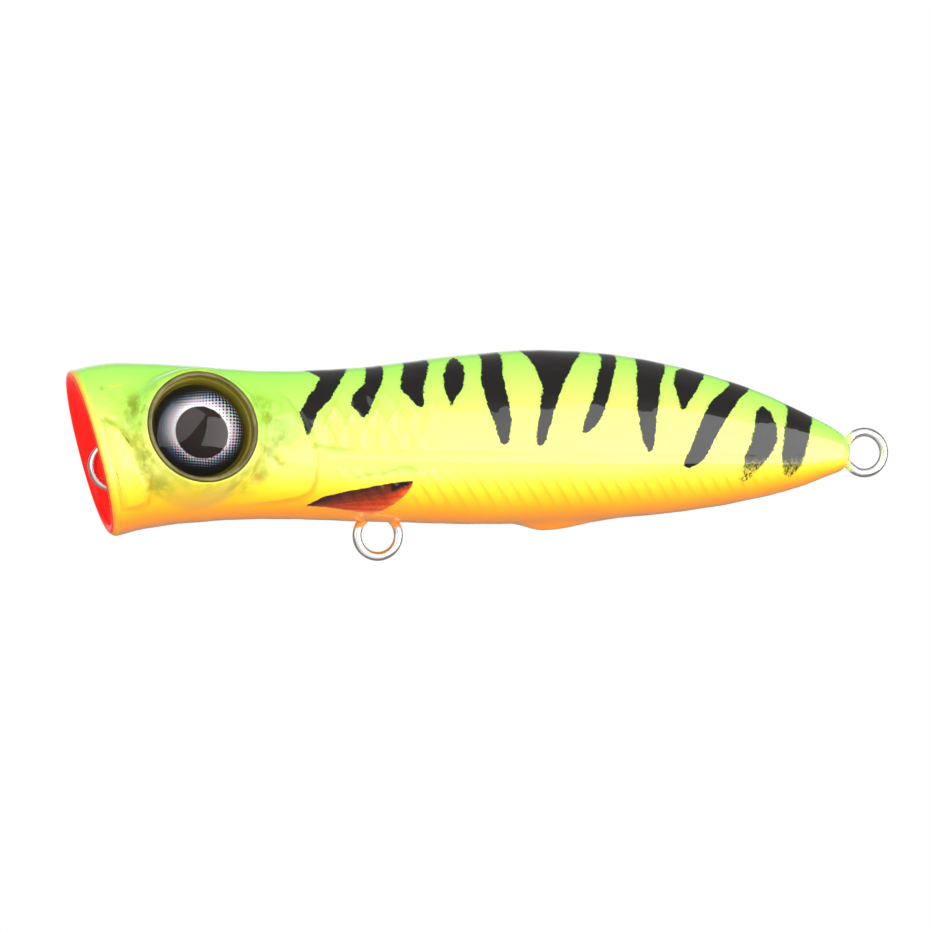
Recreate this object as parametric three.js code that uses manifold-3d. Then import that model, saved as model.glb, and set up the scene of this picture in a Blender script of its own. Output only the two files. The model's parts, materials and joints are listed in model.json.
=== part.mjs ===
// Topwater popper: a hollow two-piece fishing lure with a cupped mouth, three wire eyes,
// two domed eyes, fixed ballast and loose rattle balls.
// Millimetres. +X runs from the mouth to the tail, +Z is up, and the lure's left side faces -Y.
// The origin is the centre of the line tie's ring.
import * as THREE from "three";
import { mergeVertices } from "three/addons/utils/BufferGeometryUtils.js";
import Module from "manifold-3d";

const wasm = await Module();
wasm.setup();

// ---- Driving dimensions ----
const bodyLength = 104.0; // middle of the mouth's rim to the tip of the tail
const bodyHeight = 24.7; // lowest point of the chin to the top of the back
const bodyWidth = 20.6; // widest part of the flanks
const wall = 1.5; // shell wall
const ribWall = 1.2; // bulkheads, webs and tube walls
const seamGap = 0.1; // glue line between the two shells
const sectionPower = 2.1; // 2 is an ellipse, and more is squarer

const mouthTilt = THREE.MathUtils.degToRad(14.7); // the upper lip stands in front of the lower one
const mouthLeanEnds = 0.24; // share of the length where the sections stand upright
const lipRadius = 0.75;
const cupDepth = 4.6;
const cupWall = 2.2; // along X, between the cup's floor and the hollow behind it
const tailEdgeRadius = 0.9;

const wireDiameter = 1.2;
const ringRadius = 2.8; // centreline of the ring that shows
const anchorRadius = 1.8; // centreline of the ring trapped in the shells
const ringToAnchor = 6.2; // between the centres of the two rings
const wireClearance = 0.25;
const strandGap = 0.1; // between the two strands where the wire crosses itself
const wireEndGap = 0.7; // half of the gap between the wire's two ends
const lineTieSetback = 3.3; // ring centre behind the middle of the mouth's rim
const bellyRingShare = 0.37; // of the body's length
const bellyRingDrop = 1.8; // ring centre below the belly
const tailRingOut = 2.4; // ring centre behind the tail's tip

const keelStart = 0.542; // shares of the body's length
const keelPeak = 0.59;
const keelEnd = 0.69;
const keelDrop = 1.0;
const keelHalfWidth = 3.4;

const eyeShare = 0.1285; // of the body's length
const eyeHeightShare = 0.205; // of the body's height
const eyeYaw = THREE.MathUtils.degToRad(7.8); // the eye looks a little to the rear
const eyePitch = THREE.MathUtils.degToRad(14.6); // and a little up
const eyeRimProud = 1.7; // rim's middle outside the flank
const foilRadius = 6.0;
const foilThickness = 0.4;
const foilMargin = 1.3; // socket floor that shows round the foil
const socketRadius = foilRadius + foilMargin;
const socketDepth = 2.7;
const rimWidth = 0.35;
const rimFlare = 1.1; // how much wider the rim's foot is
const lensClearance = 0.3;
const lensDome = 1.2;

const knockerRadius = 3.0;
const rattleRadius = 2.2;
const rattleCount = 3;
const ballClearance = 0.3;
const knockerTubeEnd = 0.265; // shares of the body's length
const rattleTubeStart = 0.43;
const rattleTubeEnd = 0.648;
const rattleTubeHeight = 4.2;
const ballGap = 0.3; // between balls at rest, and between a ball and its stop

const bellyWeightRadius = 2.3;
const bellyWeightLength = 9.0;
const bellyWeightShare = 0.585;
const tailWeightRadius = 4.0;
const tailWeightLength = 15.5;
const tailWeightHeight = 3.0;
const weightClearance = 0.3;

const pinRadius = 0.9;
const pinLength = 1.8;
const pinClearance = 0.25;
const pillarRadius = 2.0;

const ringSides = 32; // facets round the body
const stationCount = 26; // sections along the body
const innerStationCount = 10; // sections along the hollow
const wireSides = 8;
const wireSteps = 36;
const roundSides = 20;

// ---- Body shape: [share of length, share of height or width] ----
const backLine = profile([
  [-0.022, 0.53], [0.031, 0.546], [0.115, 0.535], [0.223, 0.507], [0.347, 0.53], [0.474, 0.596],
  [0.589, 0.63], [0.716, 0.585], [0.851, 0.446], [0.961, 0.248], [1, 0.155],
]);
const bellyLine = profile([
  [0.035, -0.37], [0.071, -0.334], [0.128, -0.302], [0.223, -0.283], [0.367, -0.3], [0.53, -0.314],
  [0.662, -0.291], [0.797, -0.235], [0.906, -0.147], [0.964, -0.068], [1, -0.008],
]);
const flankLine = profile([
  [0, 0.51], [0.06, 0.482], [0.13, 0.448], [0.206, 0.41], [0.292, 0.413], [0.464, 0.476],
  [0.589, 0.5], [0.724, 0.456], [0.849, 0.34], [0.945, 0.2], [1, 0.1],
]);
const widestLine = profile([[0, 0.073], [0.32, 0.089], [0.6, 0.121], [0.85, 0.128], [1, 0.077]]);

/** A smooth curve through [x, value] points, as a function of x. */
function profile(points) {
  const slopes = points.map((_, i) => {
    const [before, after] = [points[Math.max(i - 1, 0)], points[Math.min(i + 1, points.length - 1)]];
    return (after[1] - before[1]) / (after[0] - before[0]);
  });
  return (x) => {
    let i = 0;
    while (i < points.length - 2 && x > points[i + 1][0]) i++;
    const [[x0, y0], [x1, y1]] = [points[i], points[i + 1]];
    const u = THREE.MathUtils.clamp((x - x0) / (x1 - x0), 0, 1);
    const v = 1 - u;
    const ends = y0 * (1 + 2 * u) * v * v + y1 * (1 + 2 * v) * u * u;
    return ends + (x1 - x0) * u * v * (slopes[i] * v - slopes[i + 1] * u);
  };
}

const alongBody = (share) => share * bodyLength - lineTieSetback;
const shareAt = (x) => (x + lineTieSetback) / bodyLength;

/** The body's cross-section at a share of its length: its middle, its lean and its reach each way. */
function section(share) {
  const middle = widestLine(share) * bodyHeight;
  const lean = -Math.tan(mouthTilt) * (1 - THREE.MathUtils.smoothstep(share, 0, mouthLeanEnds));
  const edge = (line) => {
    const upright = line(share) * bodyHeight;
    return line(share + (lean * (upright - middle)) / bodyLength) * bodyHeight;
  };
  return {
    x: alongBody(share),
    middle,
    lean,
    up: edge(backLine) - middle,
    down: middle - edge(bellyLine),
    side: flankLine(share) * bodyWidth,
  };
}

/** How far the keel hangs below the belly line. */
function keelAt(share) {
  const rise = THREE.MathUtils.smoothstep(share, keelStart, keelPeak);
  return keelDrop * rise * (1 - THREE.MathUtils.smoothstep(share, keelPeak, keelEnd));
}

const rounded = (v) => Math.sign(v) * Math.abs(v) ** (2 / sectionPower);

/** One closed ring of points. inset draws it in from the skin, scale shrinks it and back moves it along X. */
function bodyRing(share, { inset = 0, scale = 1, back = 0, keel = false } = {}) {
  const s = section(share);
  return Array.from({ length: ringSides }, (_, i) => {
    const angle = (2 * Math.PI * i) / ringSides;
    const [across, upward] = [rounded(Math.cos(angle)), rounded(Math.sin(angle))];
    const y = (s.side - inset) * scale * across;
    let rise = ((upward > 0 ? s.up : s.down) - inset) * scale * upward;
    const x = s.x + s.lean * rise + back;
    if (keel && upward < 0) rise -= keelAt(share) * Math.exp(-((y / (keelHalfWidth / 2)) ** 2));
    return new THREE.Vector3(x, y, s.middle + rise);
  });
}

const cupFloor = (radius) => cupDepth * (1 - radius * radius);

/** A closed surface through rings of equally many points, drawn to a point at each end. */
function loft(rings) {
  const sides = rings[0].length;
  const centre = (ring) => ring.reduce((sum, p) => sum.add(p), new THREE.Vector3()).divideScalar(sides);
  const points = [...rings.flat(), centre(rings[0]), centre(rings.at(-1))];
  const [firstPole, lastPole] = [points.length - 2, points.length - 1];
  const index = [];
  for (let i = 0; i < sides; i++) {
    const j = (i + 1) % sides;
    index.push(firstPole, j, i);
    for (let row = 0; row < rings.length - 1; row++) {
      const [a, b] = [row * sides, (row + 1) * sides];
      index.push(a + i, a + j, b + i, a + j, b + j, b + i);
    }
    const top = (rings.length - 1) * sides;
    index.push(lastPole, top + i, top + j);
  }
  return new THREE.BufferGeometry().setFromPoints(points).setIndex(index);
}

// ---- Solids ----
function solid(geometry) {
  const bare = geometry.clone();
  bare.deleteAttribute("normal");
  bare.deleteAttribute("uv");
  const merged = mergeVertices(bare, 1e-4);
  const triVerts = new Uint32Array(merged.index.array);
  const vertProperties = new Float32Array(merged.attributes.position.array);
  return new wasm.Manifold(new wasm.Mesh({ numProp: 3, vertProperties, triVerts }));
}

function geometryOf(body) {
  const mesh = body.getMesh();
  const geometry = new THREE.BufferGeometry();
  geometry.setAttribute("position", new THREE.BufferAttribute(mesh.vertProperties, 3));
  geometry.setIndex(new THREE.BufferAttribute(mesh.triVerts, 1));
  const flat = geometry.toNonIndexed();
  flat.computeVertexNormals();
  return flat;
}

const union = (solids) => solids.reduce((sum, body) => sum.add(body));

function block(low, high) {
  const size = high.map((v, i) => v - low[i]);
  const box = new THREE.BoxGeometry(...size);
  box.translate(...low.map((v, i) => v + size[i] / 2));
  return solid(box);
}

/** A rod between two points. */
function rod(start, end, radius, endRadius = radius) {
  const [a, b] = [new THREE.Vector3(...start), new THREE.Vector3(...end)];
  const geometry = new THREE.CylinderGeometry(endRadius, radius, a.distanceTo(b), roundSides);
  const direction = b.clone().sub(a).normalize();
  geometry.applyQuaternion(new THREE.Quaternion().setFromUnitVectors(THREE.Object3D.DEFAULT_UP, direction));
  geometry.translate(...a.add(b).divideScalar(2).toArray());
  return solid(geometry);
}

// ---- Body ----
function outerBody() {
  const rings = [];
  const throat = 1 - (2 * lipRadius) / section(0).side;
  for (const radius of [0.25, 0.5, 0.7, 0.85, 0.95])
    rings.push(bodyRing(0, { scale: radius * throat, back: lipRadius + cupFloor(radius) }));
  for (const turn of [1, 0.8, 0.6, 0.4, 0.2]) {
    const angle = Math.PI * turn;
    const inset = lipRadius * (1 - Math.cos(angle));
    rings.push(bodyRing(0, { inset, back: lipRadius * (1 - Math.sin(angle)) }));
  }
  const [first, last] = [lipRadius / bodyLength, 1 - tailEdgeRadius / bodyLength];
  for (let i = 0; i <= stationCount; i++) {
    const share = THREE.MathUtils.lerp(first, last, i / stationCount);
    rings.push(bodyRing(share, { keel: true }));
  }
  for (const turn of [0.2, 0.35, 0.5]) {
    const angle = Math.PI * turn;
    const share = last + (tailEdgeRadius * Math.sin(angle)) / bodyLength;
    rings.push(bodyRing(share, { inset: tailEdgeRadius * (1 - Math.cos(angle)) }));
  }
  return solid(loft(rings));
}

/** The space that lies inset from the skin and gap behind the cup, up to a share of the length. */
function innerSpace(inset, gap, endShare) {
  const rings = [0.3, 0.6, 0.85, 1].map((scale) =>
    bodyRing(0, { inset, scale, back: lipRadius + gap + cupFloor(scale) }),
  );
  const first = (2 * lipRadius + gap) / bodyLength;
  for (let i = 0; i <= innerStationCount; i++)
    rings.push(bodyRing(THREE.MathUtils.lerp(first, endShare, i / innerStationCount), { inset }));
  return solid(loft(rings));
}

// ---- Wire eyes: a figure-of-eight wire, its small ring trapped in the shells ----
/** Points along the wire from end to end, with the ring at the origin and the anchor ring along +X. */
function wirePoints() {
  const touch = Math.acos((ringRadius + anchorRadius) / ringToAnchor);
  const crossing = (ringToAnchor * ringRadius) / (ringRadius + anchorRadius);
  const lift = (wireDiameter + strandGap) / 2;
  const arc = (centre, radius, from, to, steps) =>
    Array.from({ length: steps + 1 }, (_, i) => {
      const angle = THREE.MathUtils.lerp(from, to, i / steps);
      return new THREE.Vector3(centre + radius * Math.cos(angle), 0, radius * Math.sin(angle));
    });
  const wireEnd = wireEndGap / anchorRadius;
  return [
    ...arc(ringToAnchor, anchorRadius, -wireEnd, -(Math.PI - touch), 6),
    new THREE.Vector3(crossing, lift, 0),
    ...arc(0, ringRadius, touch, 2 * Math.PI - touch, 12),
    new THREE.Vector3(crossing, -lift, 0),
    ...arc(ringToAnchor, anchorRadius, Math.PI - touch, wireEnd, 6),
  ];
}

const ringPlaces = {
  line_tie: { x: 0, z: 0, turn: 0 },
  belly_hanger: {
    x: alongBody(bellyRingShare),
    z: bellyLine(bellyRingShare) * bodyHeight - bellyRingDrop,
    turn: -Math.PI / 2,
  },
  tail_hanger: { x: alongBody(1) + tailRingOut, z: widestLine(1) * bodyHeight, turn: Math.PI },
};

/** A round wire through points, turned and moved to its place on the body. */
function wireThrough(points, radius, steps, place) {
  const corners = Array.from({ length: wireSides }, (_, i) => {
    const angle = (2 * Math.PI * (i + 0.5)) / wireSides;
    return new THREE.Vector2(radius * Math.cos(angle), radius * Math.sin(angle));
  });
  const extrudePath = new THREE.CatmullRomCurve3(points);
  const shape = new THREE.Shape(corners);
  const wire = new THREE.ExtrudeGeometry(shape, { steps, extrudePath, bevelEnabled: false });
  wire.rotateY(place.turn);
  wire.translate(place.x, 0, place.z);
  return solid(wire);
}

const wireEye = (place) => wireThrough(wirePoints(), wireDiameter / 2, wireSteps, place);

/** The channel that a wire eye lies in, made in two halves because it crosses itself. */
function wireChannel(place) {
  const points = wirePoints();
  const middle = Math.floor(points.length / 2);
  const halves = [points.slice(0, middle + 1), points.slice(middle)];
  const radius = wireDiameter / 2 + wireClearance;
  return union(halves.map((half) => wireThrough(half, radius, wireSteps / 2, place)));
}

const anchorReach = ringToAnchor + anchorRadius + wireDiameter / 2;

/** A block of plastic round the part of a wire that lies inside the body. */
function anchorBlock(place) {
  const half = anchorRadius + wireDiameter / 2 + ribWall;
  const reach = anchorReach + ribWall;
  const body = new THREE.BoxGeometry(reach - ringRadius, 2 * half, 2 * half);
  body.translate((reach + ringRadius) / 2, 0, 0);
  body.rotateY(place.turn);
  body.translate(place.x, 0, place.z);
  return solid(body);
}

// ---- Eyes ----
function eyePlace(side) {
  const normal = new THREE.Vector3(
    Math.cos(eyePitch) * Math.sin(eyeYaw),
    side * Math.cos(eyePitch) * Math.cos(eyeYaw),
    Math.sin(eyePitch),
  );
  const s = section(eyeShare);
  const centre = new THREE.Vector3(s.x, side * (s.side + eyeRimProud), eyeHeightShare * bodyHeight);
  return { normal, centre };
}

/** Points on the eye's axis, by depth below the rim. */
const onEyeAxis = ({ centre, normal }, depth) => centre.clone().addScaledVector(normal, -depth).toArray();

const eyeBoss = (eye) => {
  const deep = socketDepth + ribWall;
  const top = socketRadius + rimWidth;
  return rod(onEyeAxis(eye, deep), onEyeAxis(eye, 0), top + rimFlare, top);
};
const eyeSocket = (eye) => rod(onEyeAxis(eye, socketDepth), onEyeAxis(eye, -socketDepth), socketRadius);

/** A round piece turned about the eye's axis, from a profile of [radius, height above the socket's floor]. */
function turnedEyePiece(eye, outline) {
  const points = outline.map(([radius, height]) => new THREE.Vector2(radius, height));
  const geometry = new THREE.LatheGeometry(points, roundSides);
  const turn = new THREE.Quaternion().setFromUnitVectors(THREE.Object3D.DEFAULT_UP, eye.normal);
  geometry.applyQuaternion(turn);
  geometry.translate(...onEyeAxis(eye, socketDepth));
  return geometry;
}

const foilTop = lensClearance + foilThickness;
const eyeFoil = (eye) =>
  turnedEyePiece(eye, [[0, lensClearance], [foilRadius, lensClearance], [foilRadius, foilTop], [0, foilTop]]);

function eyeLens(eye) {
  const radius = socketRadius - lensClearance;
  const foot = foilTop + lensClearance;
  const dome = Array.from({ length: 8 }, (_, i) => {
    const share = 1 - i / 7;
    return [radius * share, socketDepth + lensDome * (1 - share * share)];
  });
  return turnedEyePiece(eye, [[0, foot], [radius, foot], ...dome]);
}

// ---- Loose balls and fixed weights ----
const knockerTube = { start: anchorReach + ribWall, end: alongBody(knockerTubeEnd), z: 0, radius: knockerRadius };
const rattleTube = {
  start: alongBody(rattleTubeStart),
  end: alongBody(rattleTubeEnd),
  z: rattleTubeHeight,
  radius: rattleRadius,
};
const bellyWeight = {
  x: alongBody(bellyWeightShare),
  z: bellyLine(bellyWeightShare) * bodyHeight + wall + bellyWeightRadius + weightClearance / 2,
  radius: bellyWeightRadius,
  length: bellyWeightLength,
};
const tailWeight = {
  x: rattleTube.end + ribWall + weightClearance + tailWeightLength / 2,
  z: tailWeightHeight,
  radius: tailWeightRadius,
  length: tailWeightLength,
};

/** A chamfered slug lying along X. */
function slug({ x, z, radius, length }) {
  const chamfer = radius / 5;
  const half = length / 2;
  const corner = radius - chamfer;
  const outline = [[0, -half], [corner, -half], [radius, chamfer - half]];
  outline.push([radius, half - chamfer], [corner, half], [0, half]);
  const geometry = new THREE.LatheGeometry(outline.map(([r, h]) => new THREE.Vector2(r, h)), roundSides);
  geometry.rotateZ(-Math.PI / 2);
  geometry.translate(x, 0, z);
  return geometry;
}

/** The channel left for a slug. */
const slugPocket = ({ x, z, radius, length }) => {
  const half = length / 2 + weightClearance;
  return rod([x - half, 0, z], [x + half, 0, z], radius + weightClearance);
};

function ball(tube, place) {
  const step = 2 * tube.radius + ballGap;
  const geometry = new THREE.SphereGeometry(tube.radius, 14, 10);
  geometry.translate(tube.start + ballGap + tube.radius + place * step, 0, tube.z);
  return geometry;
}

// ---- Inside of the shells ----
/** A plate across the whole body. */
const bulkhead = (x) => block([x, -bodyWidth, -bodyHeight], [x + ribWall, bodyWidth, bodyHeight]);

/** A tube for balls, held to both flanks by a level web. */
function ballTube({ start, end, z, radius }) {
  const outer = radius + ballClearance + ribWall;
  const web = block([start, -bodyWidth, z - ribWall / 2], [end, bodyWidth, z + ribWall / 2]);
  return rod([start, 0, z], [end, 0, z], outer).add(web);
}
const ballBore = ({ start, end, z, radius }) => rod([start, 0, z], [end, 0, z], radius + ballClearance);

/** Pins of one shell and sockets of the other, placed clear of the wires, tubes and weights. */
function pinPlaces() {
  const inset = wall + pillarRadius;
  const under = (x) => backLine(shareAt(x)) * bodyHeight - inset;
  const over = (x) => bellyLine(shareAt(x)) * bodyHeight + inset;
  const neck = (knockerTube.end + ringPlaces.belly_hanger.x) / 2 - anchorRadius / 2;
  const middle = (rattleTube.start + rattleTube.end) / 2;
  const stern = tailWeight.x + tailWeightLength / 2 + weightClearance + 2 * ribWall + pillarRadius;
  return [
    [neck, under(neck)],
    [neck, over(neck)],
    [middle, under(middle)],
    [tailWeight.x, under(tailWeight.x)],
    [stern, widestLine(shareAt(stern)) * bodyHeight],
  ];
}

function shells() {
  const tailAnchorFront = ringPlaces.tail_hanger.x - anchorReach;
  const cavity = innerSpace(wall, cupWall, shareAt(tailAnchorFront - ribWall));
  const core = innerSpace(wall / 2, cupWall / 2, 1 - wall / bodyLength);
  const eyes = [eyePlace(-1), eyePlace(1)];
  const bellyPocket = slugPocket(bellyWeight);
  const margin = ribWall + weightClearance;
  const weightBlock = block(
    [
      bellyWeight.x - bellyWeightLength / 2 - margin,
      -bellyWeightRadius - margin,
      bellyLine(bellyWeightShare) * bodyHeight,
    ],
    [
      bellyWeight.x + bellyWeightLength / 2 + margin,
      bellyWeightRadius + margin,
      bellyWeight.z + bellyWeightRadius + margin,
    ],
  );
  const sternWall = tailWeight.x + tailWeightLength / 2 + weightClearance;
  const saddles = [-1, 1].map((end) => bulkhead(tailWeight.x + (end * tailWeightLength) / 4 - ribWall / 2));
  const ribs = union([
    anchorBlock(ringPlaces.line_tie),
    anchorBlock(ringPlaces.belly_hanger),
    bulkhead(knockerTube.end),
    bulkhead(rattleTube.start - ribWall),
    bulkhead(rattleTube.end),
    bulkhead(sternWall),
    weightBlock,
    ballTube(knockerTube),
    ballTube(rattleTube),
    ...saddles,
    ...pinPlaces().map(([x, z]) => rod([x, -bodyWidth, z], [x, bodyWidth, z], pillarRadius)),
  ]).intersect(core);
  const pockets = union([
    ballBore(knockerTube),
    ballBore(rattleTube),
    bellyPocket,
    slugPocket(tailWeight),
    ...Object.values(ringPlaces).map(wireChannel),
    ...eyes.map(eyeSocket),
  ]);
  const whole = outerBody()
    .subtract(cavity)
    .add(ribs)
    .add(union(eyes.map(eyeBoss)))
    .subtract(pockets);
  const far = 2 * bodyLength;
  const left = whole.intersect(block([-far, -far, -far], [far, -seamGap / 2, far]));
  const right = whole.intersect(block([-far, seamGap / 2, -far], [far, far, far]));
  const holes = pinPlaces().map(([x, z]) => {
    const deep = pinLength + pinClearance;
    return rod([x, -deep, z], [x, deep, z], pinRadius + pinClearance);
  });
  const pins = pinPlaces().map(([x, z]) => rod([x, -pinLength, z], [x, wall, z], pinRadius));
  return { left_shell: left.subtract(union(holes)), right_shell: right.add(union(pins)) };
}

// ---- Materials and nodes ----
const materials = {
  paint: new THREE.MeshStandardMaterial({ color: "#e8f53c", roughness: 0.15, metalness: 0 }),
  wire: new THREE.MeshStandardMaterial({ color: "#c9cacc", roughness: 0.2, metalness: 1 }),
  foil: new THREE.MeshStandardMaterial({ color: "#2c3550", roughness: 0.2, metalness: 0.8 }),
  lens: new THREE.MeshStandardMaterial({ color: "#dfe8ea", roughness: 0.03, metalness: 0 }),
  weight: new THREE.MeshStandardMaterial({ color: "#8c8d90", roughness: 0.5, metalness: 1 }),
  ball: new THREE.MeshStandardMaterial({ color: "#d4d5d8", roughness: 0.1, metalness: 1 }),
};

const popper = new THREE.Group();

function addNode(name, geometry, material) {
  const mesh = new THREE.Mesh(geometry, material);
  mesh.name = name;
  popper.add(mesh);
}

for (const [name, body] of Object.entries(shells())) addNode(name, geometryOf(body), materials.paint);
for (const [name, place] of Object.entries(ringPlaces))
  addNode(name, geometryOf(wireEye(place)), materials.wire);
for (const [side, name] of [[-1, "left"], [1, "right"]]) {
  const eye = eyePlace(side);
  addNode(`${name}_eye_foil`, eyeFoil(eye), materials.foil);
  addNode(`${name}_eye_lens`, eyeLens(eye), materials.lens);
}
addNode("belly_weight", slug(bellyWeight), materials.weight);
addNode("tail_weight", slug(tailWeight), materials.weight);
addNode("knocker_ball", ball(knockerTube, 0), materials.ball);
for (let i = 0; i < rattleCount; i++)
  addNode(`rattle_ball_${i + 1}`, ball(rattleTube, i), materials.ball);

export default popper;
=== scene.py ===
"""A topwater popper's looks: two painted half shells with moulded scales, wire eyes, domed eyes,
ballast and loose balls. Sizes are in millimetres until a mesh is made, and meshes are in metres."""

import json
import math

import bmesh
import bpy
import numpy as np
from mathutils import Matrix, Vector

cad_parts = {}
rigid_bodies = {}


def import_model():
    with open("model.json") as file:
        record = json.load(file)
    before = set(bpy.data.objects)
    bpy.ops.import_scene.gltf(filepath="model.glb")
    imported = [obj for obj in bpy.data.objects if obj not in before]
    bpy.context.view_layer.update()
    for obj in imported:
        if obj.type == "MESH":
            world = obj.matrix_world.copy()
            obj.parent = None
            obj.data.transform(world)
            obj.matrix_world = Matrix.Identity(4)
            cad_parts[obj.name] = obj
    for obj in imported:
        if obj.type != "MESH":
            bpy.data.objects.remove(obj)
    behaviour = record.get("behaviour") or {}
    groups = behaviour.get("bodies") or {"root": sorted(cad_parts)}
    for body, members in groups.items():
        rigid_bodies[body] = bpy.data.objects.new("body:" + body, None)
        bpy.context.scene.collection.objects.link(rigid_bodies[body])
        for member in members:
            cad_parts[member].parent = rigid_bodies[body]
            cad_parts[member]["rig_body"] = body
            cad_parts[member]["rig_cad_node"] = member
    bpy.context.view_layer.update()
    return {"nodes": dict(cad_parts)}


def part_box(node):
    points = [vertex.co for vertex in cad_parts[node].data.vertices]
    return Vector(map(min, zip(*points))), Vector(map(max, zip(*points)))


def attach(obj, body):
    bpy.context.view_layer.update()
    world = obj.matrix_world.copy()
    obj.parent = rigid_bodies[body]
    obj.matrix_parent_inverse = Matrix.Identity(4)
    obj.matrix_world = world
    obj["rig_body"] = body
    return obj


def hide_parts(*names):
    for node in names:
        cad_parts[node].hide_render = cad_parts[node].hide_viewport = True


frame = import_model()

MM = 0.001

# ---- Sizes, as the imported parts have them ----
BODY_LENGTH = 104.0
BODY_HEIGHT = 24.7
BODY_WIDTH = 20.6
LINE_TIE_SETBACK = 3.3
SECTION_POWER = 2.1
MOUTH_TILT = math.radians(14.7)
MOUTH_LEAN_ENDS = 0.24
LIP_RADIUS = 0.75
CUP_DEPTH = 4.6
TAIL_EDGE_RADIUS = 1.5
KEEL_START, KEEL_PEAK, KEEL_END = 0.542, 0.59, 0.69
KEEL_DROP = 1.0
KEEL_HALF_WIDTH = 3.4

EYE_SHARE = 0.1285
EYE_HEIGHT_SHARE = 0.205
EYE_YAW = math.radians(7.8)
EYE_PITCH = math.radians(14.6)
EYE_RIM_PROUD = 1.7
FOIL_RADIUS = 6.0
FOIL_THICKNESS = 0.3
SOCKET_RADIUS = 6.75
SOCKET_DEPTH = 2.7
RIM_WIDTH = 0.5
FOIL_FOOT = 0.3
LENS_RADIUS = 6.1
LENS_RISE = 1.05

WIRE_DIAMETER = 1.2
RING_RADIUS = 2.8
ANCHOR_RADIUS = 1.8
RING_TO_ANCHOR = 6.2
STRAND_GAP = 0.1
WIRE_END_GAP = 0.7

# ---- What only the finished surface needs ----
SEAM_HALF_GAP = 0.015  # the glue line that the paint nearly fills
WIRE_CLEARANCE = 0.04
OVERSPRAY_BELOW = 8.2  # how far under the middle, and how far along X, the body's paint reaches on the wires
OVERSPRAY_BEHIND = 101.0
LENS_LEAN_REAR = 0.6  # how much fuller the dome is at its rear and its upper edge, as shares of its height
LENS_LEAN_UP = 0.22
MOUTH_RADIUS = 10.8
SCALE_LENGTH = 2.67
SCALE_WIDTH = 4.7
SCALE_HEIGHT = 0.3
RIB_PITCH = 2.05
RIB_HEIGHT = 0.22
RIB_SLANT = 0.8  # how far a rib runs rearwards for each millimetre that it drops
SKIN_DEPTH = 0.8  # how deep the finely modelled skin goes before the moulded inside takes over
SKIN_OVERLAP = 0.1
FAR = 5.0  # a distance to paint that is nowhere near
BODY_ROWS = 440
BODY_COLUMNS = 150
CUP_ROWS = 26
LIP_ROWS = 16
TAIL_ROWS = 12


def smooth(value, low, high):
    """0 below low, 1 above high, and an even S between them."""
    share = np.clip((value - low) / (high - low), 0, 1)
    return share * share * (3 - 2 * share)


def bump(distance, width):
    """A bell curve of height 1."""
    return np.exp(-((distance / width) ** 2))


def profile(points):
    """A smooth curve through (x, value) points, as a function of x."""
    xs, ys = np.array(points, float).T
    before = np.maximum(np.arange(len(xs)) - 1, 0)
    after = np.minimum(np.arange(len(xs)) + 1, len(xs) - 1)
    slopes = (ys[after] - ys[before]) / (xs[after] - xs[before])

    def curve(x):
        i = np.clip(np.searchsorted(xs, x, side="right") - 1, 0, len(xs) - 2)
        span = xs[i + 1] - xs[i]
        u = np.clip((x - xs[i]) / span, 0, 1)
        v = 1 - u
        ends = ys[i] * (1 + 2 * u) * v * v + ys[i + 1] * (1 + 2 * v) * u * u
        return ends + span * u * v * (slopes[i] * v - slopes[i + 1] * u)

    return curve


# Outlines as (share of the length, share of the height or the width)
back_line = profile([
    (-0.022, 0.506), (0.008, 0.534), (0.031, 0.545), (0.115, 0.535), (0.223, 0.507), (0.347, 0.53),
    (0.474, 0.596), (0.589, 0.63), (0.716, 0.585), (0.851, 0.446), (0.961, 0.248), (1, 0.155),
])
belly_line = profile([
    (0.035, -0.37), (0.071, -0.334), (0.128, -0.302), (0.223, -0.283), (0.367, -0.3), (0.53, -0.314),
    (0.662, -0.291), (0.797, -0.235), (0.906, -0.147), (0.964, -0.068), (1, -0.008),
])
flank_line = profile([
    (0, 0.51), (0.06, 0.482), (0.13, 0.448), (0.206, 0.41), (0.292, 0.413), (0.464, 0.476),
    (0.589, 0.5), (0.724, 0.456), (0.849, 0.34), (0.945, 0.2), (1, 0.1),
])
widest_line = profile([(0, 0.073), (0.32, 0.089), (0.6, 0.121), (0.85, 0.128), (1, 0.077)])


def section(share):
    """The cross-section at a share of the length: x, middle, lean, and the reach up, down and sideways."""
    middle = widest_line(share) * BODY_HEIGHT
    lean = -math.tan(MOUTH_TILT) * (1 - smooth(share, 0, MOUTH_LEAN_ENDS))

    def edge(line):
        upright = line(share) * BODY_HEIGHT
        return line(share + lean * (upright - middle) / BODY_LENGTH) * BODY_HEIGHT

    x = share * BODY_LENGTH - LINE_TIE_SETBACK
    up, down = edge(back_line) - middle, middle - edge(belly_line)
    return x, middle, lean, up, down, flank_line(share) * BODY_WIDTH


def share_at(x, z):
    """The share of the length whose leaning section passes through x and z."""
    share = (x + LINE_TIE_SETBACK) / BODY_LENGTH
    for _ in range(6):
        _, middle, lean, *_ = section(share)
        share = (x + LINE_TIE_SETBACK - lean * (z - middle)) / BODY_LENGTH
    return share


def height_ratio(x, z):
    """1 on the back, 0 at the widest line and -1 on the belly."""
    _, middle, _, up, down, _ = section(np.clip(share_at(x, z), 0, 1))
    rise = z - middle
    return np.clip(np.where(rise > 0, rise / up, rise / down), -1.2, 1.2)


def rounded(value):
    return np.sign(value) * np.abs(value) ** (2 / SECTION_POWER)


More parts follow.
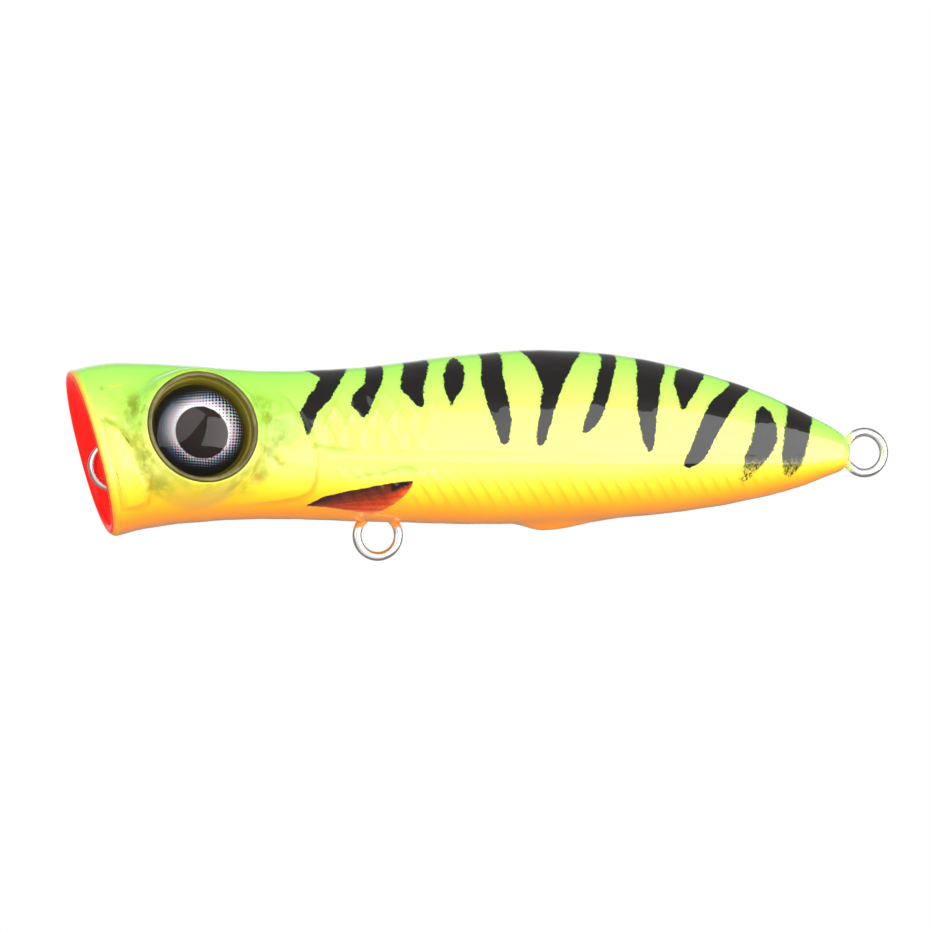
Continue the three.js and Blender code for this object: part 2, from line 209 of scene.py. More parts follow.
def rings(share, angle, inset=0.0, scale=1.0, back=0.0, keel=0.0):
    """Points of the body at shares of its length and angles round it. A cosine over 0 is on the left."""
    x, middle, lean, up, down, side = section(share)
    across, upward = rounded(np.cos(angle)), rounded(np.sin(angle))
    y = (side - inset) * scale * across
    rise = (np.where(upward > 0, up, down) - inset) * scale * upward
    px = x + lean * rise + back
    drop = KEEL_DROP * smooth(share, KEEL_START, KEEL_PEAK) * (1 - smooth(share, KEEL_PEAK, KEEL_END))
    rise = rise - keel * np.where(upward < 0, drop, 0) * bump(y, KEEL_HALF_WIDTH / 2)
    return np.stack(np.broadcast_arrays(px, -y, middle + rise), axis=-1)


def cup_floor(radius):
    return CUP_DEPTH * (1 - radius * radius)


# ---- Where the moulded and painted features lie on the left flank: (x, z) ----
LATERAL_LINE = [(25.5, 1.3), (36, 0.8), (47, 0.5), (58, 0.4), (98, 0.3)]
UPPER_CREASE = [(25.1, 2.6), (28, 2.2), (31.4, 1.8)]
GILL_EDGE = [
    (19.5, 9.6), (21.5, 8.6), (23.2, 6.0), (24.4, 3.8), (25.0, 1.0), (25.0, -1.8), (24.6, -3.1),
    (23.4, -3.9), (20.9, -4.4), (17.0, -4.9), (12.0, -5.2),
]
GILL_INNER_EDGE = [(24.5, -0.6), (23.4, -1.9), (20.7, -2.7), (17.5, -3.6)]
JAW = [
    (-2.4, 5.6), (-0.6, 5.0), (1.0, 2.8), (2.1, 1.6), (3.1, -0.8), (3.5, -3.1), (3.2, -4.7), (2.0, -5.4),
    (0.3, -5.4), (-0.2, -3.7), (-0.7, -1.5), (-1.5, 1.4),
]
DENTS = [(17.5, 0.4, 1.0), (20.2, 0.7, 0.9), (17.7, -1.6, 1.2), (-2.5, 10.1, 0.5)]
CHEEK_FOLD = [(-1.9, 6.9), (0.2, 5.6), (1.5, 4.4), (2.4, 2.9), (3.3, 1.0), (3.8, -1.0)]
CHEEK_CREASE = [(-2.6, 6.1), (-0.5, 4.73), (0.25, 3.58), (1.15, 2.43), (2.19, 0.77), (3.02, -1.15)]
NOSTRIL_LINE = [(-1.5, 10.25), (-0.6, 10.35), (0.1, 10.42)]
FIN = [
    (24.4, -5.2), (26.6, -4.0), (29.6, -3.3), (32.6, -2.7), (36.0, -2.1), (38.2, -1.9), (37.9, -2.8),
    (37.4, -3.7), (36.2, -4.9), (34.9, -5.8), (33.4, -6.2), (31.5, -6.0), (27.4, -5.4),
]
FIN_FOLD = [(27.3, -2.7), (31.2, -1.8), (34.1, -1.3), (38.9, -0.9)]
FIN_REAR = [(39.5, -1.4), (38.2, -3.8), (36.9, -5.9)]
FIN_ROOT = (24.4, -5.2)
FIN_LENGTH = 13.5
RAYS_PER_RADIAN = 80
# Where thin green overspray lies along the fold and the gill
GREEN_LINE = [(31.0, -1.4), (34.4, -0.9), (36.3, -0.2), (37.9, -0.2), (38.7, -0.8)]
GILL_GREEN = [(25.2, 2.9), (27.2, 2.3), (30.4, 2.0)]

# Short dark lines along the creases of the jaw and the gill edge: partly dark paint in the creases and partly
# painted shadow of them
DARK_CREASE_LINES = [
    [(-2.7, 5.2), (-2.4, 4.6), (-2.3, 4.0), (-2.05, 3.4)],
    [(-1.15, 0.7), (-0.9, -0.9), (-0.62, -1.8), (-0.14, -3.7)],
    [(-0.5, 4.65), (0.3, 3.5), (1.15, 2.35)],
    [(2.0, 1.2), (2.3, 0.5), (3.0, -1.1)],
    [(24.0, 4.3), (24.6, 3.0), (24.9, 1.9)],
]

# Each stripe from the back down to its tip: (x, z, half width)
STRIPES = [
    [(27.7, 12.9, 3.0), (28.1, 11.6, 1.5), (27.1, 10.2, 1.4),
     (25.9, 8.7, 1.6), (24.5, 7.0, 1.2), (24.2, 3.9, 0.1)],
    [(34.2, 12.8, 1.1), (33.2, 10.6, 1.2), (32.0, 9.3, 1.5),
     (31.4, 8.0, 1.35), (31.6, 7.2, 0.9), (31.6, 6.4, 0.3)],
    [(39.8, 13.6, 1.6), (38.8, 11.6, 1.6), (38.3, 10.2, 1.5),
     (38.8, 8.7, 0.85), (39.1, 7.9, 0.5)],
    [(44.9, 14.2, 0.3), (44.6, 13.5, 1.0), (44.1, 11.8, 1.45),
     (43.7, 10.2, 1.2), (43.3, 8.4, 0.3), (43.2, 7.8, 0.1)],
    [(49.8, 14.7, 1.3), (49.0, 11.6, 1.5), (49.4, 8.3, 1.5),
     (49.8, 6.0, 1.2), (50.0, 4.0, 0.8), (50.0, 3.0, 0.5)],
    [(58.3, 15.4, 4.2), (57.6, 13.2, 2.6), (57.0, 10.7, 1.4),
     (56.0, 7.7, 1.0), (55.2, 4.5, 0.8), (54.8, 2.8, 0.5)],
    [(66.0, 14.6, 1.1), (64.5, 11.9, 1.1), (63.2, 8.7, 1.1),
     (62.3, 6.6, 1.1), (61.6, 5.3, 0.9), (61.0, 4.5, 0.5)],
    [(72.1, 14.2, 2.3), (70.4, 11.0, 1.8), (69.8, 7.6, 1.45),
     (69.7, 5.0, 1.1), (69.8, 3.2, 0.8), (69.9, 2.0, 0.3)],
    [(77.7, 13.3, 0.5), (77.5, 12.8, 2.3), (76.6, 11.7, 2.3),
     (76.0, 10.8, 1.9), (75.3, 8.9, 1.0), (74.9, 7.6, 0.3)],
    [(84.9, 11.0, 2.0), (81.3, 8.8, 2.0), (79.4, 6.4, 1.8),
     (77.6, 3.3, 1.5), (76.4, 0.9, 1.45), (75.7, 0.1, 0.9)],
]
SPRAYED_STRIPES = [
    [(86.9, 7.9, 0.3), (86.9, 7.2, 1.2), (87.0, 5.1, 1.8),
     (86.7, 3.2, 2.0), (85.7, 1.3, 1.9), (84.1, -1.9, 0.5)],
    [(93.4, 7.8, 2.3), (92.0, 5.0, 2.1), (91.4, 2.7, 1.9),
     (91.1, 0.4, 1.6), (90.9, -1.0, 0.9)],
]
# Dark olive round the eyes, partly airbrushed mist and partly painted shade of the folds round the boss: (x,
# z, reach along x, reach along z, strength)
MIST_AND_SHADE = [
    (-0.8, 8.8, 2.6, 1.0, 0.5), (1.3, 7.7, 2.3, 2.0, 0.9), (1.2, 4.8, 2.0, 3.0, 0.7),
    (2.5, 1.6, 1.4, 3.4, 0.75), (3.8, -2.6, 2.8, 1.6, 0.7), (17.8, 8.2, 2.8, 1.4, 0.7),
    (19.6, 6.6, 2.2, 2.2, 0.9), (20.6, 3.4, 2.0, 2.2, 0.85), (18.6, 2.0, 1.9, 2.0, 0.8),
    (17.0, -0.8, 2.8, 1.3, 0.8), (20.2, 0.3, 1.4, 0.8, 0.9), (15.4, -2.6, 2.4, 1.2, 0.7),
]

# How far green reaches up the back, and the height ratio at which it gives way to yellow: (x, value)
GREENING = [(-4, 0.9), (3, 1), (22, 1.06), (36, 0.88), (60, 0.84), (80, 0.86), (95, 1)]
TURNS_GREEN = [
    (-6, 0.42), (2, 0.24), (22, 0.1), (29, 0.3), (41, 0.4), (52, 0.49), (67, 0.44), (79, 0.35),
    (96, 0.02), (103, -0.1),
]
FIN_UPPER_EDGE = [(24.4, -5.2), (29.6, -3.3), (38.2, -1.9)]
FIN_LOWER_EDGE = [(24.4, -5.3), (31.5, -6.0), (34.9, -5.8), (38.2, -2.5)]


def along_body(points, x):
    """The value at x of a broken line given as (x, value) points."""
    return np.interp(x, *np.array(points, float).T)


def over_lateral_line(x, z):
    return z - along_body(LATERAL_LINE, x)


def line_distance(points, x, z):
    """Distance to a broken line, the share along its nearest stretch, and the side, positive to the left."""
    best = np.full(np.shape(x), 1e9)
    side = np.zeros(np.shape(x))
    along = np.zeros(np.shape(x))
    for i, ((x0, z0), (x1, z1)) in enumerate(zip(points, points[1:])):
        dx, dz = x1 - x0, z1 - z0
        share = np.clip(((x - x0) * dx + (z - z0) * dz) / (dx * dx + dz * dz), 0, 1)
        away = np.hypot(x - x0 - share * dx, z - z0 - share * dz)
        nearer = away < best
        cross = dx * (z - z0) - dz * (x - x0)
        best = np.where(nearer, away, best)
        side = np.where(nearer, np.sign(cross), side)
        along = np.where(nearer, (i + share) / (len(points) - 1), along)
    return best, along, side


def near_line(points, x, z, half_width):
    """Distance to a painted line's edge, negative inside."""
    return line_distance(points, x, z)[0] - half_width


def outline_distance(points, x, z):
    """Signed distance to a closed outline, negative inside."""
    away, _, _ = line_distance([*points, points[0]], x, z)
    inside = np.zeros(np.shape(x), bool)
    for (x0, z0), (x1, z1) in zip(points, [*points[1:], points[0]]):
        crosses = (z0 > z) != (z1 > z)
        with np.errstate(divide="ignore", invalid="ignore"):
            inside ^= crosses & (x < (x1 - x0) * (z - z0) / (z1 - z0 if z1 != z0 else 1e-9) + x0)
    return np.where(inside, -away, away)


def stripe_distance(stripes, x, z):
    """Signed distance, along the body, to the nearest stripe's edge."""
    best = np.full(np.shape(x), 50.0)
    for stripe in stripes:
        xs, zs, halves = np.array(stripe, float)[::-1].T
        middle, half = np.interp(z, zs, xs), np.interp(z, zs, halves)
        beyond = np.maximum(zs[0] - z, 0)
        ends_below_back = halves[-1] <= 0.5
        if ends_below_back:
            beyond = np.maximum(beyond, z - zs[-1])
        best = np.minimum(best, np.abs(x - middle) - half + 2 * beyond)
    return best


# ---- Eye places ----
def eye_axes(side):
    """The eye's centre on the rim, its outward normal, and the direction across it towards the tail."""
    normal = Vector((
        math.cos(EYE_PITCH) * math.sin(EYE_YAW),
        side * math.cos(EYE_PITCH) * math.cos(EYE_YAW),
        math.sin(EYE_PITCH),
    ))
    x, _, _, _, _, reach = section(np.float64(EYE_SHARE))
    centre = Vector((x, side * (reach + EYE_RIM_PROUD), EYE_HEIGHT_SHARE * BODY_HEIGHT))
    rearward = Vector((1, 0, 0))
    rearward = (rearward - normal * rearward.dot(normal)).normalized()
    return centre, normal, rearward


def eye_radius(points, side=-1):
    """Each point's distance from the eye's axis and its height above the rim's plane."""
    centre, normal, _ = (np.array(axis) for axis in eye_axes(side))
    away = points - centre
    height = away @ normal
    return np.linalg.norm(away - height[..., None] * normal, axis=-1), height


# ---- Moulded relief of the left flank ----
def lapped_edge(inward, low, high, fade):
    """The step where one plate laps over another: it rises between low and high and fades inwards."""
    return smooth(inward, low, high) * np.exp(-np.maximum(inward, 0) / fade)


def fin_rays(x, z):
    """Rays that fan out from the fin's root, 1 on each and -1 between them."""
    root_x, root_z = FIN_ROOT
    return np.sin(np.arctan2(z - root_z, x - root_x) * RAYS_PER_RADIAN)


def relief(x, z):
    """How far the moulded surface stands off the plain body, in millimetres."""
    over = over_lateral_line(x, z)
    height = np.zeros_like(x)

    # Lateral line, broader near the gill, with a groove above it.
    behind_gill = smooth(x, 25.6, 27.5) * (1 - smooth(x, 90, 97))
    broader = smooth(x, 40, 26)
    height += 0.24 * bump(over, 0.34 + 0.25 * broader) * behind_gill
    groove = 0.13 - 0.09 * smooth(x, 30, 58)
    height -= groove * bump(over - 0.85 - 0.2 * broader, 0.3) * behind_gill
    away, along, _ = line_distance(UPPER_CREASE, x, z)
    height -= 0.22 * bump(away, 0.3) * (1 - smooth(along, 0.4, 1))

    # Gill cover: the head's plate laps over the body.
    away, along, side = line_distance(GILL_EDGE, x, z)
    inward = -away * side
    ends = smooth(along, 0, 0.12) * (1 - smooth(along, 0.75, 1))
    height += 0.42 * lapped_edge(inward, -0.3, 0.3, 2.6) * ends
    height -= 0.2 * bump(inward + 0.45, 0.28) * ends
    away, along, _ = line_distance(GILL_INNER_EDGE, x, z)
    height -= 0.16 * bump(away, 0.32) * (1 - smooth(along, 0.6, 1))

    # Jaw plate.
    away = outline_distance(JAW, x, z)
    height += 0.42 * (1 - smooth(away, -0.7, 0.2)) - 0.18 * bump(away - 0.25, 0.25)
    away, along, _ = line_distance(CHEEK_FOLD, x, z)
    height += 0.34 * bump(away, 0.8) * smooth(along, 0, 0.2) * (1 - smooth(along, 0.8, 1))
    away, along, _ = line_distance(CHEEK_CREASE, x, z)
    height -= 0.3 * bump(away, 0.3) * (1 - smooth(along, 0.85, 1))

    for dent_x, dent_z, reach in DENTS:
        height -= 0.3 * bump(np.hypot(x - dent_x, z - dent_z), reach * 0.7)

    # Pectoral fin with its rays, and the fold of skin above it.
    away = outline_distance(FIN, x, z)
    height += 0.2 * (1 - smooth(away, -0.5, 0.35))
    height += 0.04 * fin_rays(x, z) * (1 - smooth(away, -0.9, -0.4))
    away, along, side = line_distance(FIN_FOLD, x, z)
    height += 0.3 * lapped_edge(-away * side, -0.25, 0.2, 1.2) * smooth(along, 0, 0.25)
    away, along, side = line_distance(FIN_REAR, x, z)
    height += 0.28 * lapped_edge(-away * side, -0.2, 0.2, 0.9) * (1 - smooth(along, 0.7, 1))
    return height


def scale_grooves(x, z):
    """1 in the grooves between the moulded scales and 0 on their crowns."""
    column, row = x / SCALE_LENGTH, over_lateral_line(x, z) / SCALE_WIDTH
    crowns = 1
    for turned in (column + row, column - row):
        share = turned % 1
        crowns = crowns * (4 * share * (1 - share)) ** 0.8
    return 1 - smooth(crowns, 0, 0.5)


def scale_field(x, z):
    """Where scales are moulded: above the lateral line, fading towards the back and the tail."""
    over = over_lateral_line(x, z)
    ends = smooth(x, 25.2, 27.0) * (1 - smooth(x, 31, 47))
    return ends * smooth(over, 0.9, 2.0) * (1 - smooth(height_ratio(x, z), 0.5, 0.92))


def rib_field(x, z):
    """Where ribs are moulded: below the lateral line and behind the fin, fading towards the belly."""
    over = over_lateral_line(x, z)
    ends = smooth(x, 26.0, 28.0) * (1 - smooth(x, 84, 92))
    field = ends * smooth(-over, 0.7, 2.2) * smooth(height_ratio(x, z), -0.86, -0.62)
    around_fin = outline_distance([*FIN_FOLD, *FIN_REAR, *FIN[::-1]], x, z)
    return np.where(x < 41, field * smooth(around_fin, -0.1, 0.6), field)


def hand_finish(points):
    """Slow waves that sanding and hand-dipped clear coat leave in the surface."""
    x, y, z = np.moveaxis(points, -1, 0)
    waves = np.sin(x * 0.9 + z * 0.7) * np.sin(z * 1.3 - x * 0.35 + y * 0.4)
    fine = np.sin(x * 2.7 + 1.3 * np.sin(z * 1.9)) * np.sin(z * 2.9 + np.sin(x * 1.7))
    return 0.028 * waves + 0.006 * fine


def geometry_tree(name, stock, kinds):
    """A tree that works its stock into a mesh, with inputs for its sizes and its finish."""
    tree = bpy.data.node_groups.new(name, "GeometryNodeTree")
    face = tree.interface
    face.new_socket(stock, in_out="INPUT", socket_type="NodeSocketGeometry")
    sockets = {}
    for size, kind in {**kinds, "Finish": "Material"}.items():
        socket = face.new_socket(size, in_out="INPUT", socket_type="NodeSocket" + kind)
        sockets[size] = socket.identifier
    face.new_socket("Mesh", in_out="OUTPUT", socket_type="NodeSocketGeometry")
    given = tree.nodes.new("NodeGroupInput").outputs
    made = tree.nodes.new("NodeGroupOutput").inputs
    return tree, sockets, Tree(tree), given, made


def finish_tree(build, last, given, made):
    """Ends a tree with a real mesh in its finish."""
    whole = build.add("GeometryNodeRealizeInstances", Geometry=last.outputs[0])
    finished = build.add("GeometryNodeSetMaterial", Geometry=whole.outputs[0], Material=given["Finish"])
    build.give(made["Mesh"], finished.outputs[0])


def moulding_nodes():
    """A tree that raises the repeating scales and ribs where a skin's attributes say they are moulded."""
    sizes = ("Scale Length", "Scale Width", "Scale Height", "Rib Pitch", "Rib Height", "Rib Slant")
    kinds = dict.fromkeys(sizes, "Float")
    tree, sockets, build, given, made = geometry_tree("Moulded scales and ribs", "Skin", kinds)

    def stored(name):
        node = build.add("GeometryNodeInputNamedAttribute", {"data_type": "FLOAT"})
        node.inputs["Name"].default_value = name
        return node.outputs["Attribute"]

    def arch(share):
        """0 at whole numbers and nearly 1 between them."""
        inside = build.math("FRACT", share)
        product = build.times(inside, build.minus(1.0, inside))
        return build.math("POWER", build.times(product, 4.0), 0.8)

    place = build.add("ShaderNodeSeparateXYZ", Vector=build.add("GeometryNodeInputPosition").outputs[0])
    over = stored("over_lateral_line")
    column = build.math("DIVIDE", place.outputs["X"], given["Scale Length"])
    row = build.math("DIVIDE", over, given["Scale Width"])
    one, other = arch(build.math("ADD", column, row)), arch(build.minus(column, row))
    scales = build.minus(build.times(one, other), 0.4)
    height = build.times(stored("scale_field"), given["Scale Height"])
    scales = build.times(scales, height)

    slant = build.line(over, given["Rib Slant"], place.outputs["X"])
    lap = build.math("FRACT", build.math("DIVIDE", slant, given["Rib Pitch"]))
    rise = build.times(build.step(lap, 0.0, 0.82), build.step(lap, 1.0, 0.88))
    ribs = build.times(build.minus(rise, 0.5), stored("rib_field"))
    ribs = build.times(ribs, given["Rib Height"])

    offset = build.add("ShaderNodeVectorMath", {"operation": "SCALE"})
    build.give(offset.inputs[0], build.add("GeometryNodeInputNormal").outputs[0])
    build.give(offset.inputs["Scale"], build.math("ADD", scales, ribs))
    raised = build.add("GeometryNodeSetPosition", Geometry=given["Skin"], Offset=offset.outputs[0])
    finish_tree(build, raised, given, made)
    return tree, sockets


def evaluated_mesh(obj):
    """What an object's modifiers make of it, as a plain mesh."""
    depsgraph = bpy.context.evaluated_depsgraph_get()
    return bpy.data.meshes.new_from_object(obj.evaluated_get(depsgraph))


def worked(obj, tree, sockets, values):
    """The plain mesh that a tree makes of an object. values are its inputs by name."""
    modifier = obj.modifiers.new("work", "NODES")
    modifier.node_group = tree
    for name, value in values.items():
        modifier[sockets[name]] = value
    mesh = evaluated_mesh(obj)
    obj.modifiers.remove(modifier)
    return mesh


def raise_moulding(skin, paint):
    """Raises the scales and ribs on a skin, and leaves it a plain mesh."""
    skin.data = worked(skin, *MOULDING_TREE, {
        "Scale Length": SCALE_LENGTH * MM,
        "Scale Width": SCALE_WIDTH * MM,
        "Scale Height": SCALE_HEIGHT * MM,
        "Rib Pitch": RIB_PITCH * MM,
        "Rib Height": RIB_HEIGHT * MM,
        "Rib Slant": RIB_SLANT,
        "Finish": paint,
    })


# ---- Meshes ----
def store(mesh, name, values):
    """Keeps a number for each point of a mesh, for its material or its moulding."""
    attribute = mesh.attributes.new(name, "FLOAT", "POINT")
    attribute.data.foreach_set("value", np.asarray(values, np.float32))


def linked_object(name, data):
    obj = bpy.data.objects.new(name, data)
    bpy.context.scene.collection.objects.link(obj)
    return obj


def shade_smooth(mesh):
    mesh.polygons.foreach_set("use_smooth", [True] * len(mesh.polygons))


def new_object(name, vertices, faces, materials):
    mesh = bpy.data.meshes.new(name)
    mesh.from_pydata((np.asarray(vertices) * MM).tolist(), [], faces)
    for material in materials:
        mesh.materials.append(material)
    mesh.validate()
    shade_smooth(mesh)
    return linked_object(name, mesh)


def stand_for(piece, node, body="body"):
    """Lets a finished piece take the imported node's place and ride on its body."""
    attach(piece, body)
    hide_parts(node)


def boolean(target, other, operation):
    """Cuts or joins target with other, which is used up."""
    modifier = target.modifiers.new("cut", "BOOLEAN")
    modifier.operation = operation
    modifier.solver = "MANIFOLD"
    modifier.material_mode = "TRANSFER"
    modifier.object = other
    result = evaluated_mesh(target)
    target.modifiers.remove(modifier)
    if len(result.polygons) == 0:
        raise RuntimeError(f"{operation} of {target.name} with {other.name} left nothing")
    target.data = result
    bpy.data.objects.remove(other)


def half_skin(side, materials):
    """One closed half of the body with its moulded relief: the painted skin, capped flat at the glue line."""
    angle = np.linspace(math.pi / 2, -math.pi / 2, BODY_COLUMNS + 1)[None, :]
    throat = 1 - 2 * LIP_RADIUS / section(np.float64(0))[5]
    cup = np.linspace(0.03, 0.985, CUP_ROWS)[:, None]
    blocks = [rings(np.zeros_like(cup), angle, scale=cup * throat, back=LIP_RADIUS + cup_floor(cup))]
    turn = np.linspace(math.pi, 0, LIP_ROWS + 1)[:-1, None]
    lip_inset = LIP_RADIUS * (1 - np.cos(turn))
    blocks.append(rings(np.zeros_like(turn), angle, inset=lip_inset, back=LIP_RADIUS * (1 - np.sin(turn))))
    first, last = LIP_RADIUS / BODY_LENGTH, 1 - TAIL_EDGE_RADIUS / BODY_LENGTH
    share = np.linspace(first, last, BODY_ROWS)[:, None]
    blocks.append(rings(share, angle, keel=1.0))
    turn = np.linspace(0, math.pi / 2, TAIL_ROWS + 1)[1:, None]
    end_share = last + TAIL_EDGE_RADIUS * np.sin(turn) / BODY_LENGTH
    blocks.append(rings(end_share, angle, inset=TAIL_EDGE_RADIUS * (1 - np.cos(turn))))
    grid = np.concatenate(blocks)

    # The moulded relief stands off along the normals, and dies out before the lip.
    normal = np.cross(np.gradient(grid, axis=1), np.gradient(grid, axis=0))
    normal /= np.linalg.norm(normal, axis=-1, keepdims=True) + 1e-12
    mouth_rows = CUP_ROWS + LIP_ROWS
    body = np.zeros(len(grid))
    body[mouth_rows:] = smooth(np.arange(len(grid) - mouth_rows), 0, 6)
    x, z = grid[..., 0], grid[..., 2]
    radius, height = eye_radius(grid)
    outside_eye = smooth(radius, 8.0, 10.0)
    eye_fold = 0.14 * bump(radius - 9.1, 0.35) * smooth(x, 20, 0)
    lift = relief(x, z) * outside_eye - eye_fold
    grid = grid + normal * ((lift + hand_finish(grid)) * body[:, None])[..., None]

    # The eye's boss rises from the flank to the plane of the rim.
    eye_normal = np.array(eye_axes(-1)[1])
    rise = (1 - smooth(radius, SOCKET_RADIUS + 0.8, SOCKET_RADIUS + 2.7)) * body[:, None]
    grid = grid - (height * rise)[..., None] * eye_normal
    grid[..., 1] = np.minimum(grid[..., 1], -SEAM_HALF_GAP)
    grid[:, [0, -1], 1] = -SEAM_HALF_GAP

    rows, columns, _ = grid.shape
    poles = (grid[[0, -1], 0] + grid[[0, -1], -1]) / 2
    vertices = np.concatenate([grid.reshape(-1, 3), poles])
    cup_pole, tail_pole = rows * columns, rows * columns + 1
    i, j = np.meshgrid(np.arange(rows - 1), np.arange(columns - 1), indexing="ij")
    a = (i * columns + j).ravel()
    quads = np.stack([a, a + columns, a + columns + 1, a + 1], axis=1).tolist()
    last_row = (rows - 1) * columns
    fans = [[cup_pole, k, k + 1] for k in range(columns - 1)]
    fans += [[tail_pole, last_row + k + 1, last_row + k] for k in range(columns - 1)]
    top = [k * columns for k in range(rows)]
    bottom = [k * columns + columns - 1 for k in range(rows)]
    cap = [cup_pole, *bottom, tail_pole, *top[::-1]]
    faces = quads + fans + [cap]
    if side > 0:
        vertices = vertices * (1, -1, 1)
        faces = [face[::-1] for face in faces]
    obj = new_object("half", vertices, faces, materials[:1])
    x, _, z = vertices.T
    on_body = np.concatenate([np.repeat(body * outside_eye.max(axis=1), columns), [0, 0]])
    on_body *= np.concatenate([outside_eye.ravel(), [0, 0]])
    store(obj.data, "over_lateral_line", over_lateral_line(x, z) * MM)
    store(obj.data, "scale_field", scale_field(x, z) * on_body)
    store(obj.data, "rib_field", rib_field(x, z) * on_body)
    raise_moulding(obj, materials[0])
    for material in materials[1:]:
        obj.data.materials.append(material)
    obj.data.polygons[len(faces) - 1].material_index = 1
    return obj


def whole_core(inset, gap, material):
    """The body drawn in by inset from the flanks and by gap from the cup's floor."""
    angle = np.linspace(0, 2 * math.pi, 96, endpoint=False)[None, :]
    cup = np.linspace(0.05, 1, 10)[:, None]
    first = (2 * LIP_RADIUS + gap) / BODY_LENGTH
    share = np.linspace(first, 1 - inset / BODY_LENGTH, 90)[:, None]
    grid = np.concatenate([
        rings(np.zeros_like(cup), angle, inset=inset, scale=cup, back=LIP_RADIUS + gap + cup_floor(cup)),
        rings(share, angle, inset=inset),
    ])
    rows, columns, _ = grid.shape
    vertices = np.concatenate([grid.reshape(-1, 3), [grid[0].mean(0)], [grid[-1].mean(0)]])
    faces = []
    for k in range(columns):
        n = (k + 1) % columns
        faces.append([rows * columns, n, k])
        faces.append([rows * columns + 1, (rows - 1) * columns + k, (rows - 1) * columns + n])
        for r in range(rows - 1):
            faces.append([r * columns + k, r * columns + n, (r + 1) * columns + n, (r + 1) * columns + k])
    obj = new_object("core", vertices, faces, [material])
    turn_outwards(obj)
    return obj


def turn_outwards(obj):
    """Points every face outwards."""
    mesh = bmesh.new()
    mesh.from_mesh(obj.data)
    bmesh.ops.recalc_face_normals(mesh, faces=mesh.faces)
    mesh.to_mesh(obj.data)
    mesh.free()


def lathe(name, outline, materials, sides=96, place=Matrix.Identity(4)):
    """A turned piece from [(radius, height)], closed on its axis at both ends, then moved to its place."""
    turns = np.linspace(0, 2 * math.pi, sides, endpoint=False)
    circle = np.stack([np.cos(turns), np.sin(turns)], axis=1)
    inner = outline[1:-1]
    vertices = [(0, 0, outline[0][1])]
    for radius, height in inner:
        vertices += [(radius * c, radius * s, height) for c, s in circle]
    vertices.append((0, 0, outline[-1][1]))
    faces = []
    for k in range(sides):
        n = (k + 1) % sides
        faces.append([0, 1 + n, 1 + k])
        for r in range(len(inner) - 1):
            a, b = 1 + r * sides, 1 + (r + 1) * sides
            faces.append([a + k, a + n, b + n, b + k])
        last = 1 + (len(inner) - 1) * sides
        faces.append([len(vertices) - 1, last + k, last + n])
    moved = [place @ Vector(v) for v in vertices]
    obj = new_object(name, moved, faces, materials)
    turn_outwards(obj)
    return obj


def eye_place(side, depth):
    """The matrix that puts a turned piece on the eye's axis, with its zero at a depth below the rim."""
    centre, normal, rearward = eye_axes(side)
    turn = Matrix((rearward, normal.cross(rearward), normal)).transposed().to_4x4()
    return Matrix.Translation(centre - normal * depth) @ turn


def moulded_inside(node, material):
    """A welded copy of a packed shell, for its ribs, pins, tubes and saddles."""
    copy = frame["nodes"][node].copy()
    copy.data = copy.data.copy()
    copy.parent = None
    copy.matrix_world = Matrix.Identity(4)
    for key in ("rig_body", "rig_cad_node"):  # this copy is only stock for a new piece
        del copy[key]
    bpy.context.scene.collection.objects.link(copy)
    mesh = bmesh.new()
    mesh.from_mesh(copy.data)
    bmesh.ops.remove_doubles(mesh, verts=mesh.verts, dist=0.0005 * MM)
    mesh.to_mesh(copy.data)
    mesh.free()
    copy.data.materials.clear()
    copy.data.materials.append(material)
    copy.data.polygons.foreach_set("material_index", [0] * len(copy.data.polygons))
    return copy


# ---- Wire eyes ----
def wire_points():
    """Points along a wire eye from end to end, its ring at the origin and its anchor ring along +X."""
    touch = math.acos((RING_RADIUS + ANCHOR_RADIUS) / RING_TO_ANCHOR)
    crossing = RING_TO_ANCHOR * RING_RADIUS / (RING_RADIUS + ANCHOR_RADIUS)
    lift = (WIRE_DIAMETER + STRAND_GAP) / 2
    wire_end = WIRE_END_GAP / ANCHOR_RADIUS

    def arc(centre, radius, start, end, steps):
        turns = np.linspace(start, end, steps + 1)
        return [(centre + radius * math.cos(t), 0, radius * math.sin(t)) for t in turns]

    return [
        *arc(RING_TO_ANCHOR, ANCHOR_RADIUS, -wire_end, touch - math.pi, 6),
        (crossing, lift, 0),
        *arc(0, RING_RADIUS, touch, 2 * math.pi - touch, 12),
        (crossing, -lift, 0),
        *arc(RING_TO_ANCHOR, ANCHOR_RADIUS, math.pi - touch, wire_end, 6),
    ]


def through(points, steps):
    """steps + 1 points of a smooth curve that passes through the given points."""
    points = [Vector(p) for p in points]
    curve = []
    for k in range(steps + 1):
        place = k / steps * (len(points) - 1)
        i = min(int(place), len(points) - 2)
        u = place - i
        before = points[i - 1] if i > 0 else points[0] * 2 - points[1]
        after = points[i + 2] if i + 2 < len(points) else points[-1] * 2 - points[-2]
        a, b = points[i], points[i + 1]
        first, second = (b - before) / 2, (after - a) / 2
        curve.append(
            a * (2 * u**3 - 3 * u**2 + 1) + first * (u**3 - 2 * u**2 + u)
            + b * (3 * u**2 - 2 * u**3) + second * (u**3 - u**2)
        )
    return curve


def bent_wire_nodes():
    """A tree that sweeps a round wire along a curve."""
    kinds = {"Wire Radius": "Float", "Sides": "Int"}
    tree, sockets, build, given, made = geometry_tree("Bent wire", "Curve", kinds)
    radius, sides = given["Wire Radius"], given["Sides"]
    ring = build.add("GeometryNodeCurvePrimitiveCircle", Radius=radius, Resolution=sides)
    sweep = build.add("GeometryNodeCurveToMesh", Curve=given["Curve"], Profile_Curve=ring.outputs["Curve"])
    sweep.inputs["Fill Caps"].default_value = True
    finish_tree(build, sweep, given, made)
    return tree, sockets


